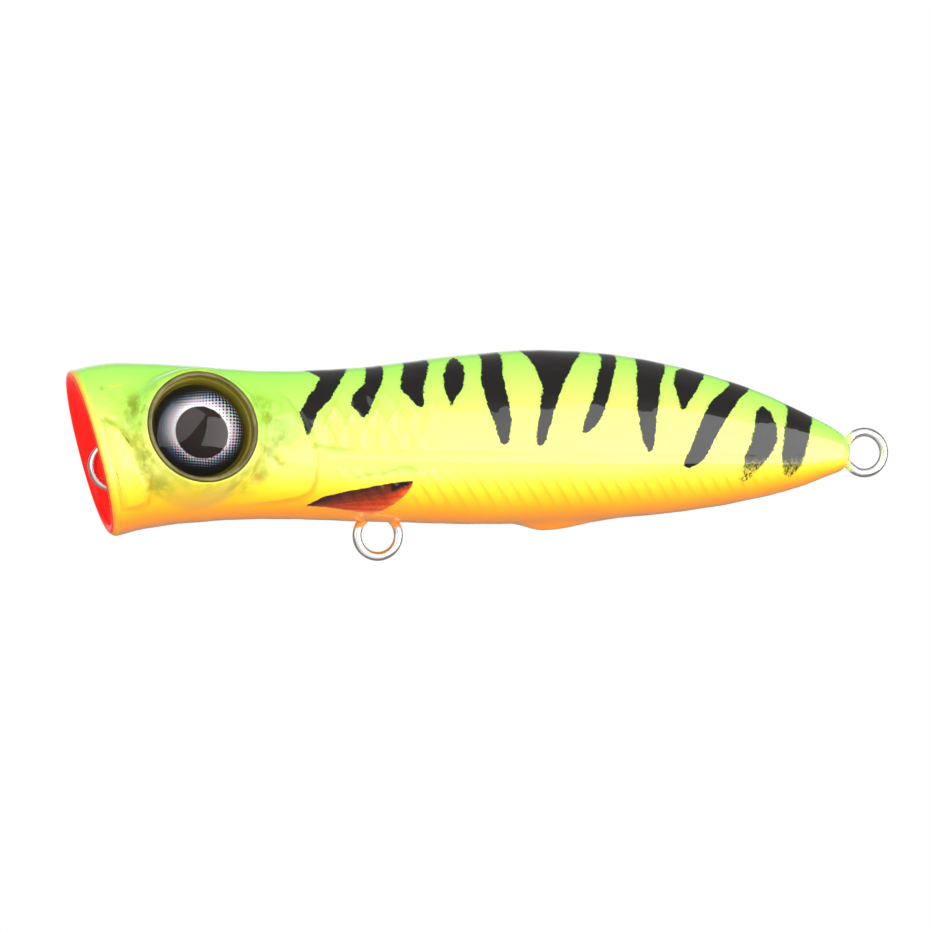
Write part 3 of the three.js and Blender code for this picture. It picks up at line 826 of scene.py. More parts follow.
def swept_wire(name, points, radius, sides, finish, steps=220):
    """A round wire through points, in millimetres, as a plain mesh."""
    curve = bpy.data.curves.new(name, "CURVE")
    curve.dimensions = "3D"
    spline = curve.splines.new("POLY")
    route = through(points, steps)
    spline.points.add(len(route) - 1)
    for point, place in zip(spline.points, route):
        point.co = (*(place * MM), 1)
    source = linked_object(name + "_route", curve)
    mesh = worked(source, *WIRE_TREE, {"Wire Radius": radius * MM, "Sides": sides, "Finish": finish})
    bpy.data.objects.remove(source)
    bpy.data.curves.remove(curve)
    mesh.name = name
    obj = linked_object(name, mesh)
    turn_outwards(obj)
    shade_smooth(mesh)
    mesh.set_sharp_from_angle(angle=math.radians(50))
    return obj


def ring_places():
    """The ring centre of each wire eye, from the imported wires, and the turn that brings +X to its anchor."""
    reach = RING_RADIUS + WIRE_DIAMETER / 2
    tie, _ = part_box("line_tie")
    belly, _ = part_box("belly_hanger")
    _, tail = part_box("tail_hanger")
    belly_x = sum(corner.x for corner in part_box("belly_hanger")) / 2 / MM
    return {
        "line_tie": (Vector((tie.x / MM + reach, 0, tie.z / MM + reach)), 0.0),
        "belly_hanger": (Vector((belly_x, 0, belly.z / MM + reach)), -math.pi / 2),
        "tail_hanger": (Vector((tail.x / MM - reach, 0, tail.z / MM - reach)), math.pi),
    }


def placed_wire_points(node):
    centre, turn = ring_places()[node]
    return [Matrix.Rotation(turn, 3, "Y") @ Vector(p) + centre for p in wire_points()]


# ---- Node helpers ----
class Tree:
    """A node tree with short calls for adding and joining nodes."""

    def __init__(self, tree):
        self.nodes, self.links = tree.nodes, tree.links

    def add(self, kind, settings=None, **values):
        node = self.nodes.new(kind)
        for key, value in (settings or {}).items():
            setattr(node, key, value)
        for name, value in values.items():
            self.give(node.inputs[name.replace("_", " ")], value)
        return node

    def give(self, socket, value):
        if isinstance(value, bpy.types.NodeSocket):
            self.links.new(value, socket)
        else:
            socket.default_value = value

    def math(self, operation, *values, clamp=False):
        node = self.add("ShaderNodeMath", {"operation": operation, "use_clamp": clamp})
        for socket, value in zip(node.inputs, values):
            self.give(socket, value)
        return node.outputs[0]

    def times(self, one, other, clamp=False):
        return self.math("MULTIPLY", one, other, clamp=clamp)

    def minus(self, one, other):
        return self.math("SUBTRACT", one, other)

    def line(self, value, slope, start):
        """value times slope, plus start."""
        return self.math("MULTIPLY_ADD", value, slope, start)

    def length(self, x, y):
        return self.math("SQRT", self.math("ADD", self.times(x, x), self.times(y, y)))

    def mix(self, share, one, other):
        node = self.add("ShaderNodeMix", {"data_type": "RGBA"})
        self.give(node.inputs[0], share)
        colours = [socket for socket in node.inputs if socket.type == "RGBA"]
        self.give(colours[0], one)
        self.give(colours[1], other)
        return next(socket for socket in node.outputs if socket.type == "RGBA")

    def attribute(self, name):
        return self.add("ShaderNodeAttribute", {"attribute_name": name}).outputs["Fac"]

    def noise(self, where, scale, detail=3.0, roughness=0.5):
        node = self.add("ShaderNodeTexNoise", Vector=where, Scale=scale, Detail=detail, Roughness=roughness)
        return node.outputs[0]

    def step(self, value, low, high):
        node = self.add("ShaderNodeMapRange", {"interpolation_type": "SMOOTHSTEP"}, Value=value)
        node.inputs["From Min"].default_value = low
        node.inputs["From Max"].default_value = high
        return node.outputs[0]

    def ramp(self, value, stops):
        node = self.add("ShaderNodeValToRGB", Fac=value)
        elements = node.color_ramp.elements
        while len(elements) < len(stops):
            elements.new(0.5)
        for element, (position, colour) in zip(elements, stops):
            element.position = position
            element.color = colour
        return node.outputs[0]

    def group(self, tree, **values):
        node = self.add("ShaderNodeGroup", {"node_tree": tree})
        for name, value in values.items():
            self.give(node.inputs[name.replace("_", " ")], value)
        return node


def srgb(red, green, blue, alpha=1.0):
    """A colour given in 0 to 255, as the linear values that shaders take."""

    def linear(value):
        value /= 255
        return value / 12.92 if value <= 0.04045 else ((value + 0.055) / 1.055) ** 2.4

    return (linear(red), linear(green), linear(blue), alpha)


def shader_group(name, inputs, outputs):
    """An empty shader group. inputs and outputs are (name, kind, default) lists."""
    tree = bpy.data.node_groups.new(name, "ShaderNodeTree")
    for direction, sockets in (("INPUT", inputs), ("OUTPUT", outputs)):
        for socket_name, kind, default in sockets:
            socket = tree.interface.new_socket(socket_name, in_out=direction, socket_type="NodeSocket" + kind)
            if default is not None:
                socket.default_value = default
    build = Tree(tree)
    given = tree.nodes.new("NodeGroupInput")
    made = tree.nodes.new("NodeGroupOutput")
    return tree, build, given.outputs, made.inputs


def paint_edge_group():
    """Turns a signed distance in millimetres into paint, with a burred edge and specks just beyond it."""
    tree, build, given, made = shader_group(
        "Paint edge",
        [
            ("Distance", "Float", 0.0), ("Place", "Vector", None), ("Tear", "Float", 0.2),
            ("Softness", "Float", 0.06), ("Specks", "Float", 0.0),
        ],
        [("Paint", "Float", None)],
    )
    coarse = build.minus(build.noise(given["Place"], 850.0, 5.0, 0.7), 0.5)
    fine = build.minus(build.noise(given["Place"], 3200.0, 4.0, 0.7), 0.5)
    torn = build.line(fine, 1.1, coarse)
    moved = build.line(torn, build.times(given["Tear"], 4.0), given["Distance"])
    edge = build.add("ShaderNodeMapRange", {"interpolation_type": "SMOOTHSTEP"}, Value=moved)
    build.give(edge.inputs["From Min"], given["Softness"])
    build.give(edge.inputs["From Max"], build.times(given["Softness"], -1.0))
    mist = build.noise(given["Place"], 5200.0, 2.0, 0.6)
    reach = build.minus(0.74, build.times(build.step(moved, 1.0, -0.2), 0.22))
    specks = build.times(build.step(build.minus(mist, reach), -0.02, 0.03), given["Specks"])
    specks = build.times(specks, build.step(moved, 1.0, 0.0))
    build.give(made["Paint"], build.math("MAXIMUM", edge.outputs[0], specks))
    return tree


def clear_coat_group():
    """Fine waves of a hand-dipped clear coat, and the handling marks that dull it."""
    tree, build, given, made = shader_group(
        "Clear coat",
        [("Place", "Vector", None), ("Base Roughness", "Float", 0.1), ("Marks", "Float", 0.1)],
        [("Height", "Float", None), ("Roughness", "Float", None)],
    )
    waves = build.noise(given["Place"], 450.0, 2.0, 0.4)
    grit = build.noise(given["Place"], 2600.0, 2.0, 0.5)
    build.give(made["Height"], build.line(grit, 0.12, waves))
    smudge = build.step(build.noise(given["Place"], 160.0, 5.0, 0.65), 0.5, 0.75)
    build.give(made["Roughness"], build.line(smudge, given["Marks"], given["Base Roughness"]))
    return tree


def new_material(name):
    """A material, its node helper, its Principled shader and the place on the piece in metres."""
    material = bpy.data.materials.new(name)
    material.use_nodes = True
    build = Tree(material.node_tree)
    shader = material.node_tree.nodes["Principled BSDF"]
    return material, build, shader, build.add("ShaderNodeTexCoord").outputs["Object"]


def painted(build, groups, place, distance, **edge):
    """Where paint lies. distance names the attribute that holds each point's distance to its edge."""
    away = build.attribute(distance)
    return build.group(groups["edge"], Distance=away, Place=place, **edge).outputs[0]


def coated(build, shader, groups, place, roughness, marks, ripple, depth):
    """Gives a shader the coat's dull marks and its fine ripple, depth in millimetres."""
    coat = build.group(groups["coat"], Place=place, Base_Roughness=roughness, Marks=marks)
    build.give(shader.inputs["Roughness"], coat.outputs["Roughness"])
    height = coat.outputs["Height"]
    rippled = build.add("ShaderNodeBump", Strength=ripple, Distance=depth * MM, Height=height)
    build.give(shader.inputs["Normal"], rippled.outputs[0])
    return rippled.outputs[0]


# ---- Finishes ----
def body_paint(groups):
    """Fluorescent green back, yellow flanks and orange belly, black stripes, red mouth, under clear coat."""
    material, build, shader, place = new_material("Body paint")

    # The blend from the belly's orange to the back's green, drifting a little as sprayed paint does.
    drift = build.minus(build.noise(place, 130.0, 4.0, 0.55), 0.5)
    blend = build.line(drift, 0.12, build.attribute("blend_height"))
    colour = build.ramp(build.line(blend, 0.5, 0.5), [
        (0.0, srgb(255, 146, 8)),
        (0.06, srgb(255, 152, 10)),
        (0.11, srgb(254, 174, 12)),
        (0.18, srgb(252, 206, 18)),
        (0.25, srgb(250, 228, 54)),
        (0.33, srgb(249, 243, 106)),
        (0.41, srgb(246, 248, 120)),
        (0.62, srgb(242, 250, 110)),
        (0.7, srgb(228, 250, 108)),
        (0.78, srgb(206, 250, 104)),
        (0.88, srgb(184, 250, 98)),
        (1.0, srgb(164, 247, 86)),
    ])

    # Dark olive round the eyes, partly airbrushed mist and partly painted shade; painted shade in the creases
    # and, in green, between the scales; green overspray along the folds.
    # The mist attribute holds dark olive round the eyes: partly airbrush, partly painted shade of the folds
    # round the boss.
    mist = build.attribute("mist")
    cloud = build.step(build.noise(place, 520.0, 4.0, 0.6), 0.3, 0.62)
    mist_and_shade = build.times(mist, cloud, clamp=True)
    colour = build.mix(mist_and_shade, colour, srgb(136, 150, 4))
    # Painted shade in the creases: sunk relief is darkened, orange on the belly and olive above.
    shaded_creases = build.times(build.attribute("crease_shade"), 0.6, clamp=True)
    shadow = build.mix(build.step(blend, -0.5, -0.25), srgb(214, 130, 20), srgb(160, 156, 22))
    colour = build.mix(shaded_creases, colour, shadow)
    # Green painted shade in the grooves between the scales.
    groove_shade = build.times(build.attribute("scale_grooves"), 0.8, clamp=True)
    colour = build.mix(groove_shade, colour, srgb(176, 236, 44))
    tinted = painted(build, groups, place, "green_distance", Tear=0.12, Softness=0.3)
    colour = build.mix(build.times(tinted, 0.75), colour, srgb(160, 236, 84))

    # The cup's red, and the orange that was blown over its lip.
    overspray = painted(build, groups, place, "lip_distance", Tear=0.06, Softness=0.2)
    colour = build.mix(build.times(overspray, 0.85), colour, srgb(255, 168, 46))
    cup = painted(build, groups, place, "cup_distance", Tear=0.05, Softness=0.1)
    colour = build.mix(cup, colour, srgb(255, 26, 16))

    # The fin, from nearly black at its upper edge to orange below, with darker rays.
    fin = painted(build, groups, place, "fin_distance", Tear=0.06, Softness=0.06)
    grain = build.minus(build.noise(place, 2600.0, 3.0, 0.6), 0.5)
    fin_colour = build.ramp(build.line(grain, 0.3, build.attribute("fin_tone")), [
        (0.0, srgb(26, 16, 8)), (0.2, srgb(70, 26, 14)), (0.45, srgb(126, 40, 8)), (0.7, srgb(210, 60, 4)),
        (0.88, srgb(240, 92, 24)), (1.0, srgb(250, 128, 46)),
    ])
    rays = build.times(build.attribute("fin_rays"), 0.4, clamp=True)
    fin_colour = build.mix(rays, fin_colour, srgb(70, 24, 8))
    colour = build.mix(fin, colour, fin_colour)

    # The stripes, of which the rear ones are brushed thin towards their lower ends.
    stripes = painted(build, groups, place, "stripe_distance", Tear=0.19, Softness=0.05, Specks=0.45)
    slant = (0.0, math.radians(20), 0.0)
    stretch = build.add("ShaderNodeMapping", Vector=place, Rotation=slant, Scale=(1.0, 1.0, 0.3))
    streaks = build.step(build.noise(stretch.outputs[0], 4200.0, 3.0, 0.7), 0.44, 0.58)
    level = build.add("ShaderNodeSeparateXYZ", Vector=place).outputs["Z"]
    wet = build.step(build.line(grain, 0.0024, level), -1.8 * MM, 1.2 * MM)
    brushed = painted(build, groups, place, "spray_distance", Tear=0.17, Softness=0.14, Specks=0.8)
    thin = build.times(brushed, build.math("MAXIMUM", streaks, wet))
    black = build.math("MAXIMUM", stripes, thin)
    # Dark lines along the creases: partly dark paint, partly painted shadow.
    ink = painted(build, groups, place, "crease_line_distance", Tear=0.05, Softness=0.07)
    black = build.math("MAXIMUM", black, build.times(ink, 0.7))
    colour = build.mix(black, colour, srgb(22, 18, 17))
    build.give(shader.inputs["Base Color"], colour)

    # The black lies on the other colours as a thin layer, under the rippled clear coat.
    rippled = coated(build, shader, groups, place, 0.3, 0.1, 0.06, 0.1)
    layers = build.add("ShaderNodeBump", Strength=0.5, Distance=0.03 * MM, Height=black)
    build.give(layers.inputs["Normal"], rippled)
    build.give(shader.inputs["Normal"], layers.outputs[0])

    # The cup's fluorescent red is given a little emission, painted light that keeps it bright though little
    # lamp light reaches it, and no clear coat reaches into it.
    cup_painted_glow = build.times(build.minus(1.0, black), cup)
    build.give(shader.inputs["Emission Color"], build.mix(cup_painted_glow, (0, 0, 0, 1), colour))
    shader.inputs["Emission Strength"].default_value = 0.16
    matt = build.math("MAXIMUM", cup, build.times(overspray, 0.8))
    build.give(shader.inputs["Coat Weight"], build.line(matt, -0.95, 1.0))
    shader.inputs["Coat Roughness"].default_value = 0.03
    shader.inputs["Coat IOR"].default_value = 1.5
    shader.inputs["Specular IOR Level"].default_value = 0.2
    return material


def moulded_plastic(groups):
    """Bare moulded ABS, seen where nothing is painted."""
    material, build, shader, place = new_material("Moulded ABS")
    flow = build.noise(place, 120.0, 4.0, 0.5)
    build.give(shader.inputs["Base Color"], build.mix(flow, srgb(226, 226, 214), srgb(240, 240, 232)))
    coated(build, shader, groups, place, 0.38, 0.15, 0.1, 0.05)
    return material


def socket_paint_and_shade(groups):
    """The socket's wall: thin olive overspray over the plastic, darkened as painted shade of the deep socket.
    """
    material, build, shader, place = new_material("Socket paint")
    cloud = build.noise(place, 300.0, 4.0, 0.6)
    # Dark olive: the overspray's colour with painted shade of the socket's depth.
    build.give(shader.inputs["Base Color"], build.mix(cloud, srgb(108, 97, 20), srgb(148, 136, 34)))
    coated(build, shader, groups, place, 0.3, 0.1, 0.1, 0.05)
    return material


def rim_paint(groups):
    """The bead round the socket, where the paint has drawn thin and the bare plastic greys it."""
    material, build, shader, place = new_material("Rim paint")
    cloud = build.step(build.noise(place, 420.0, 4.0, 0.6), 0.3, 0.7)
    build.give(shader.inputs["Base Color"], build.mix(cloud, srgb(84, 76, 36), srgb(126, 116, 66)))
    coated(build, shader, groups, place, 0.22, 0.12, 0.1, 0.05)
    return material


def steel_wire(groups, name="Stainless wire", overspray=None):
    """Drawn stainless wire, tumbled bright, with a faint mottle."""
    material, build, shader, place = new_material(name)
    tarnish = build.noise(place, 700.0, 4.0, 0.6)
    colour = build.mix(tarnish, srgb(238, 235, 233), srgb(220, 216, 214))
    metallic = 1.0
    if overspray:
        paint = painted(build, groups, place, "overspray", Tear=0.5, Softness=0.35, Specks=0.5)
        colour = build.mix(paint, colour, overspray)
        metallic = build.minus(1.0, paint)
    build.give(shader.inputs["Base Color"], colour)
    build.give(shader.inputs["Metallic"], metallic)
    coated(build, shader, groups, place, 0.24, 0.12, 0.15, 0.03)
    return material


def turned_metal(groups, name, light, dark, roughness):
    """Plain steel with mottled wear, for the slugs and balls inside."""
    material, build, shader, place = new_material(name)
    mottle = build.step(build.noise(place, 900.0, 5.0, 0.65), 0.35, 0.7)
    build.give(shader.inputs["Base Color"], build.mix(mottle, light, dark))
    shader.inputs["Metallic"].default_value = 1.0
    coated(build, shader, groups, place, roughness, 0.2, 0.2, 0.03)
    return material


def printed_foil(groups):
    """The eye disc: dark pupil, silver ring that fades through blue to black in a dot screen."""
    material, build, shader, place = new_material("Printed eye foil")
    uv = build.add("ShaderNodeUVMap", {"uv_map": "disc"}).outputs[0]
    parts = build.add("ShaderNodeSeparateXYZ", Vector=uv)
    x = build.line(parts.outputs[0], 2.0, -1.0)
    y = build.line(parts.outputs[1], 2.0, -1.0)
    radius = build.length(x, y)
    cloud = build.minus(build.noise(uv, 3.6, 2.0, 0.5), 0.5)
    sides = build.line(build.times(x, x), -0.13, 0.04)
    uneven = build.math("ADD", build.line(cloud, 0.13, radius), sides)

    # Screen of ink dots, turned 45 degrees, which grow until they join.
    cells = 54.0
    across = build.math("SINE", build.times(build.math("ADD", x, y), cells))
    along = build.math("SINE", build.times(build.minus(x, y), cells))
    wave = build.times(across, along)
    ink_share = build.line(build.step(uneven, 0.46, 0.92), 2.0, -0.92)
    ink = build.step(build.minus(ink_share, wave), -0.1, 0.1)

    # The foil under the ink runs from white by the pupil through rose and pale blue to deep blue, and rainbow
    # glints from noise are mixed over it as painted reflections.
    silver = build.ramp(uneven, [
        (0.52, srgb(246, 244, 248)), (0.58, srgb(236, 226, 238)), (0.64, srgb(216, 182, 200)),
        (0.69, srgb(150, 186, 228)), (0.77, srgb(78, 118, 204)), (0.87, srgb(44, 54, 118)),
    ])
    hue = build.math("FRACT", build.times(build.noise(uv, 24.0, 2.0, 0.5), 4.0))
    painted_glints = build.add("ShaderNodeCombineColor", {"mode": "HSV"})
    for socket, value in zip(painted_glints.inputs, (hue, 0.75, 0.95)):
        build.give(socket, value)
    glint_share = build.times(build.step(uneven, 0.52, 0.66), 0.5)
    silver = build.mix(glint_share, silver, painted_glints.outputs[0])
    colour = build.mix(ink, silver, srgb(16, 20, 42))
    outer = build.step(build.line(cloud, 0.06, radius), 0.83, 0.91)
    colour = build.mix(outer, colour, srgb(12, 12, 18))
    rough_edge = build.minus(build.noise(uv, 22.0, 3.0, 0.6), 0.5)
    from_pupil = build.length(build.minus(x, 0.025), build.math("ADD", y, 0.065))
    pupil = build.step(build.line(rough_edge, 0.04, from_pupil), 0.535, 0.515)
    colour = build.mix(pupil, colour, srgb(44, 31, 28))
    build.give(shader.inputs["Base Color"], colour)
    bare = build.minus(1.0, build.math("MAXIMUM", build.math("MAXIMUM", pupil, outer), ink))
    build.give(shader.inputs["Metallic"], build.times(bare, 0.4))
    coat = build.group(groups["coat"], Place=place, Base_Roughness=0.35, Marks=0.05)
    build.give(shader.inputs["Roughness"], coat.outputs["Roughness"])
    # Painted light: where the foil is bare it gives off a little light in its own colour.
    build.give(shader.inputs["Emission Color"], build.mix(bare, (0, 0, 0, 1), silver))
    shader.inputs["Emission Strength"].default_value = 0.22
    shader.inputs["Specular IOR Level"].default_value = 0.06
    return material


def bonded_face():
    """The lens's underside, which is wetted to the disc and so neither mirrors nor bends light."""
    material, build, shader, place = new_material("Bonded lens face")
    tint = build.noise(place, 200.0)
    build.give(shader.inputs["Base Color"], build.mix(tint, srgb(254, 254, 253), srgb(250, 250, 248)))
    shader.inputs["Roughness"].default_value = 0.0
    shader.inputs["IOR"].default_value = 1.0
    shader.inputs["Transmission Weight"].default_value = 1.0
    return material


def clear_epoxy():
    """The domed lens: clear, slightly warm, with a polished surface."""
    material, build, shader, place = new_material("Clear epoxy")
    tint = build.noise(place, 200.0, 3.0, 0.5)
    build.give(shader.inputs["Base Color"], build.mix(tint, srgb(252, 253, 250), srgb(247, 249, 244)))
    shader.inputs["Roughness"].default_value = 0.015
    shader.inputs["IOR"].default_value = 1.5
    shader.inputs["Transmission Weight"].default_value = 1.0
    waves = build.noise(place, 300.0, 1.0, 0.3)
    ripple = build.add("ShaderNodeBump", Strength=0.03, Distance=0.05 * MM, Height=waves)
    build.give(shader.inputs["Normal"], ripple.outputs[0])
    return material


# ---- Pieces ----
def paint_masks(obj, side):
    """Stores on each point what the paint needs to know about its place."""
    mesh = obj.data
    points = np.empty(len(mesh.vertices) * 3)
    mesh.vertices.foreach_get("co", points)
    points = points.reshape(-1, 3) / MM
    x, y, z = points.T
    share = share_at(x, z)
    ahead = share * BODY_LENGTH
    *_, flank = section(np.clip(share, 0, 1))
    ratio = height_ratio(x, z)
    across = np.abs(y) / flank
    rim = (across**SECTION_POWER + np.abs(ratio) ** SECTION_POWER) ** (1 / SECTION_POWER)
    in_cup = ahead < CUP_DEPTH + LIP_RADIUS + 0.6

    # The blend runs from -1 on the belly to 1 on the back, and passes 0.5 where green gives way to yellow.
    turns_green = along_body(TURNS_GREEN, x)
    green = 0.5 + 0.5 * along_body(GREENING, x) * (ratio - turns_green) / (1 - turns_green)
    blend = np.where(ratio > turns_green, green, 0.5 * ratio / turns_green)
    blend = np.where(ratio > 0, blend, ratio)
    radius, _ = eye_radius(points, side)
    under_eye = (1 - smooth(radius, 8.0, 12.0)) * smooth(-ratio, -0.1, 0.3) * (1 - smooth(-ratio, 0.5, 0.8))

    inset = (1 - rim) * MOUTH_RADIUS
    cup = np.interp(ahead, [0.4, 0.9], [0.3, 1.1]) - inset
    lip = np.where(in_cup, np.maximum(-inset, ahead - 0.85), FAR)
    # Dark lines along the creases: partly dark paint, partly painted shadow.
    ink = np.min([near_line(line, x, z, 0.06) for line in DARK_CREASE_LINES], axis=0)
    scales = scale_grooves(x, z) * scale_field(x, z)

    # Dark olive round the socket and at the listed spots: partly airbrushed mist, partly painted shade.
    mist = 0.55 * (1 - smooth(radius, 7.3, 8.8))
    for mist_x, mist_z, reach_x, reach_z, strength in MIST_AND_SHADE:
        away = ((x - mist_x) / reach_x) ** 2 + ((z - mist_z) / reach_z) ** 2
        mist = np.maximum(mist, strength * np.exp(-away))

    upper, lower = along_body(FIN_UPPER_EDGE, x), along_body(FIN_LOWER_EDGE, x)
    down_fin = np.clip((upper - z) / np.maximum(upper - lower, 0.3), 0, 1)
    along_fin = (x - FIN_ROOT[0]) / FIN_LENGTH
    black_corner = 1.3 * smooth(x, 35.2, 35.6) * (down_fin < 0.34)
    masks = {
        "blend_height": blend - 0.03 * under_eye,
        "stripe_distance": stripe_distance(STRIPES, x, z),
        "spray_distance": stripe_distance(SPRAYED_STRIPES, x, z),
        "cup_distance": np.where(in_cup, cup, FAR),
        "lip_distance": np.minimum(lip, near_line(NOSTRIL_LINE, x, z, 0.03)),
        "green_distance": np.minimum(near_line(GREEN_LINE, x, z, 0.3), near_line(GILL_GREEN, x, z, 0.1)),
        # Green painted shade between the scales, fading rearwards.
        "scale_grooves": scales * np.interp(x, [26, 32, 46], [1, 0.6, 0.15]),
        "crease_line_distance": np.where(in_cup & (inset > 0.4), FAR, ink),
        "mist": mist,
        "fin_distance": outline_distance(FIN, x, z),
        "fin_tone": np.clip(0.02 + 0.62 * down_fin + 0.3 * along_fin - black_corner, 0, 1),
        "fin_rays": np.clip(fin_rays(x, z), 0, 1),
        # Painted shade: how deep the relief sinks, for darkening the creases.
        "crease_shade": np.clip(-relief(x, z) * 4, 0, 1) * (np.abs(y) > 1),
    }
    for name, values in masks.items():
        store(mesh, name, values)


def socket_cutter(side, material):
    """What the eye's socket leaves out of the boss, with a fine groove round the rim bead's place."""
    bead = SOCKET_RADIUS + RIM_WIDTH
    outline = [
        (0, 0), (bead - 0.2, 0), (bead - 0.2, SOCKET_DEPTH - 0.2), (bead + 0.1, SOCKET_DEPTH - 0.12),
        (bead + 0.16, SOCKET_DEPTH + 0.05), (bead + 0.16, SOCKET_DEPTH + 2), (0, SOCKET_DEPTH + 2),
    ]
    return lathe("socket", outline, [material], 160, eye_place(side, SOCKET_DEPTH))


def rim_bead(side, wall, rim):
    """The socket's lining, stepped as it was moulded, with the rounded bead that stands round its mouth."""
    inner, outer, top = SOCKET_RADIUS, SOCKET_RADIUS + RIM_WIDTH, SOCKET_DEPTH
    half = RIM_WIDTH / 2
    crown = [
        (inner + half + half * math.cos(t), top + 0.02 + 0.16 * math.sin(t))
        for t in np.linspace(0, math.pi, 13)
    ]
    outline = [
        (0, -0.3), (outer, -0.3), (outer, top - 0.1), *crown, (inner, top - 0.1), (inner, top - 0.85),
        (inner - 0.05, top - 0.92), (inner - 0.17, top - 0.95), (inner - 0.22, top - 1.0),
        (inner - 0.22, 0.12), (inner - 0.34, 0.02), (inner - 0.6, 0.0), (0, 0.0),
    ]
    place = eye_place(side, SOCKET_DEPTH)
    bead = lathe("bead", outline, [wall, rim], 160, place)
    back = place.inverted()
    for face in bead.data.polygons:
        if (back @ (face.center / MM)).z > top - 0.12:
            face.material_index = 1
    return bead


def shell_half(name, node, side, paint, plastic, socket, rim):
    """One painted half of the body, hollow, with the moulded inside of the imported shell."""
    half = half_skin(side, [paint, plastic, socket, rim])
    boolean(half, whole_core(SKIN_DEPTH, SKIN_DEPTH, plastic), "DIFFERENCE")
    inside = moulded_inside(node, plastic)
    overlap = SKIN_DEPTH - SKIN_OVERLAP
    boolean(inside, whole_core(overlap, overlap, plastic), "INTERSECT")
    boolean(half, inside, "UNION")
    boolean(half, socket_cutter(side, socket), "DIFFERENCE")
    boolean(half, rim_bead(side, socket, rim), "UNION")
    for wire in ("line_tie", "belly_hanger", "tail_hanger"):
        points = placed_wire_points(wire)
        middle = len(points) // 2
        for stretch in (points[: middle + 1], points[middle:]):
            cutter = swept_wire("channel", stretch, WIRE_DIAMETER / 2 + WIRE_CLEARANCE, 20, plastic, 90)
            boolean(half, cutter, "DIFFERENCE")
    half.name = half.data.name = name
    half.data.set_sharp_from_angle(angle=math.radians(38))
    paint_masks(half, side)
    stand_for(half, node)


def eye_foil(name, node, side, material):
    """The printed disc, slightly crowned where it was pressed into the socket."""
    floor, top = FOIL_FOOT, FOIL_FOOT + FOIL_THICKNESS
    outline = [(0, floor), (FOIL_RADIUS - 0.05, floor), (FOIL_RADIUS, floor + 0.05)]
    outline += [(FOIL_RADIUS, top - 0.06), (FOIL_RADIUS - 0.06, top)]
    outline += [(FOIL_RADIUS * k / 8, top + 0.03 * (1 - (k / 8) ** 2)) for k in range(7, 0, -1)]
    outline.append((0, top + 0.03))
    place = eye_place(side, SOCKET_DEPTH)
    disc = lathe(name, outline, [material], 128, place)
    uv = disc.data.uv_layers.new(name="disc")
    back = place.inverted()
    for loop in disc.data.loops:
        local = back @ (disc.data.vertices[loop.vertex_index].co / MM)
        uv.data[loop.index].uv = (0.5 + local.x / (2 * FOIL_RADIUS), 0.5 - side * local.y / (2 * FOIL_RADIUS))
    disc.data.set_sharp_from_angle(angle=math.radians(40))
    stand_for(disc, node)


def eye_dome(name, node, side, material, bonded):
    """The clear dome cast over the printed disc, which set a little fuller towards its upper rear."""
    foot = FOIL_FOOT + FOIL_THICKNESS + 0.06
    shoulder, apex = foot + 0.3, SOCKET_DEPTH + LENS_RISE
    rise = apex - shoulder
    sphere = (LENS_RADIUS**2 + rise**2) / (2 * rise)
    outline = [(0, foot), (LENS_RADIUS - 0.06, foot), (LENS_RADIUS, foot + 0.06)]
    for k in range(48, -1, -1):
        r = LENS_RADIUS * k / 48
        outline.append((r, math.sqrt(sphere**2 - r * r) - sphere + apex))
    place = eye_place(side, SOCKET_DEPTH)
    dome = lathe(name, outline, [material, bonded], 160, place)
    back = place.inverted()
    for vertex in dome.data.vertices:
        local = back @ (vertex.co / MM)
        lean = LENS_LEAN_REAR * local.x - LENS_LEAN_UP * side * local.y
        local.z += max(local.z - shoulder, 0) * lean / LENS_RADIUS
        vertex.co = (place @ local) * MM
    for face in dome.data.polygons:
        if (back @ (face.center / MM)).z < foot + 0.01:
            face.material_index = 1
    dome.data.set_sharp_from_angle(angle=math.radians(60))
    stand_for(dome, node)


def wire_eye(name, node, material):
    """One wire eye, bent as a figure of eight, with paint blown on it where it leaves the body."""
    wire = swept_wire(name, placed_wire_points(node), WIRE_DIAMETER / 2, 28, material)
    x, _, z = np.array([vertex.co for vertex in wire.data.vertices]).T / MM
    distances = {
        "line_tie": np.full_like(x, FAR),
        "belly_hanger": -z - OVERSPRAY_BELOW,
        "tail_hanger": x - OVERSPRAY_BEHIND,
    }
    store(wire.data, "overspray", distances[node])
    stand_for(wire, node)
    return wire


def slug(name, node, material):
    """A turned slug with chamfered ends and a parting step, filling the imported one's box."""
    low, high = (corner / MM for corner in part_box(node))
    radius, length = (high.z - low.z) / 2, high.x - low.x
    chamfer = radius / 5
    front = [
        (radius - chamfer * (1 - math.sin(t)), chamfer * (1 - math.cos(t))) for t in np.linspace(0.2, 1.57, 5)
    ]
    rear = [
        (radius - chamfer * (1 - math.cos(t)), length - chamfer * (1 - math.sin(t)))
        for t in np.linspace(0, 1.37, 5)
    ]
    outline = [
        (0, 0.25), (0.35, 0.25), (0.5, 0), (radius - chamfer, 0), *front,
        (radius, length / 2 - 0.3), (radius - 0.06, length / 2), (radius, length / 2 + 0.3),
        *rear, (radius - chamfer, length), (0, length),
    ]
    centre = (low + high) / 2
    place = Matrix.Translation((low.x, centre.y, centre.z)) @ Matrix.Rotation(math.pi / 2, 4, "Y")
    obj = lathe(name, outline, [material], 72, place)
    obj.data.set_sharp_from_angle(angle=math.radians(40))
    stand_for(obj, node)


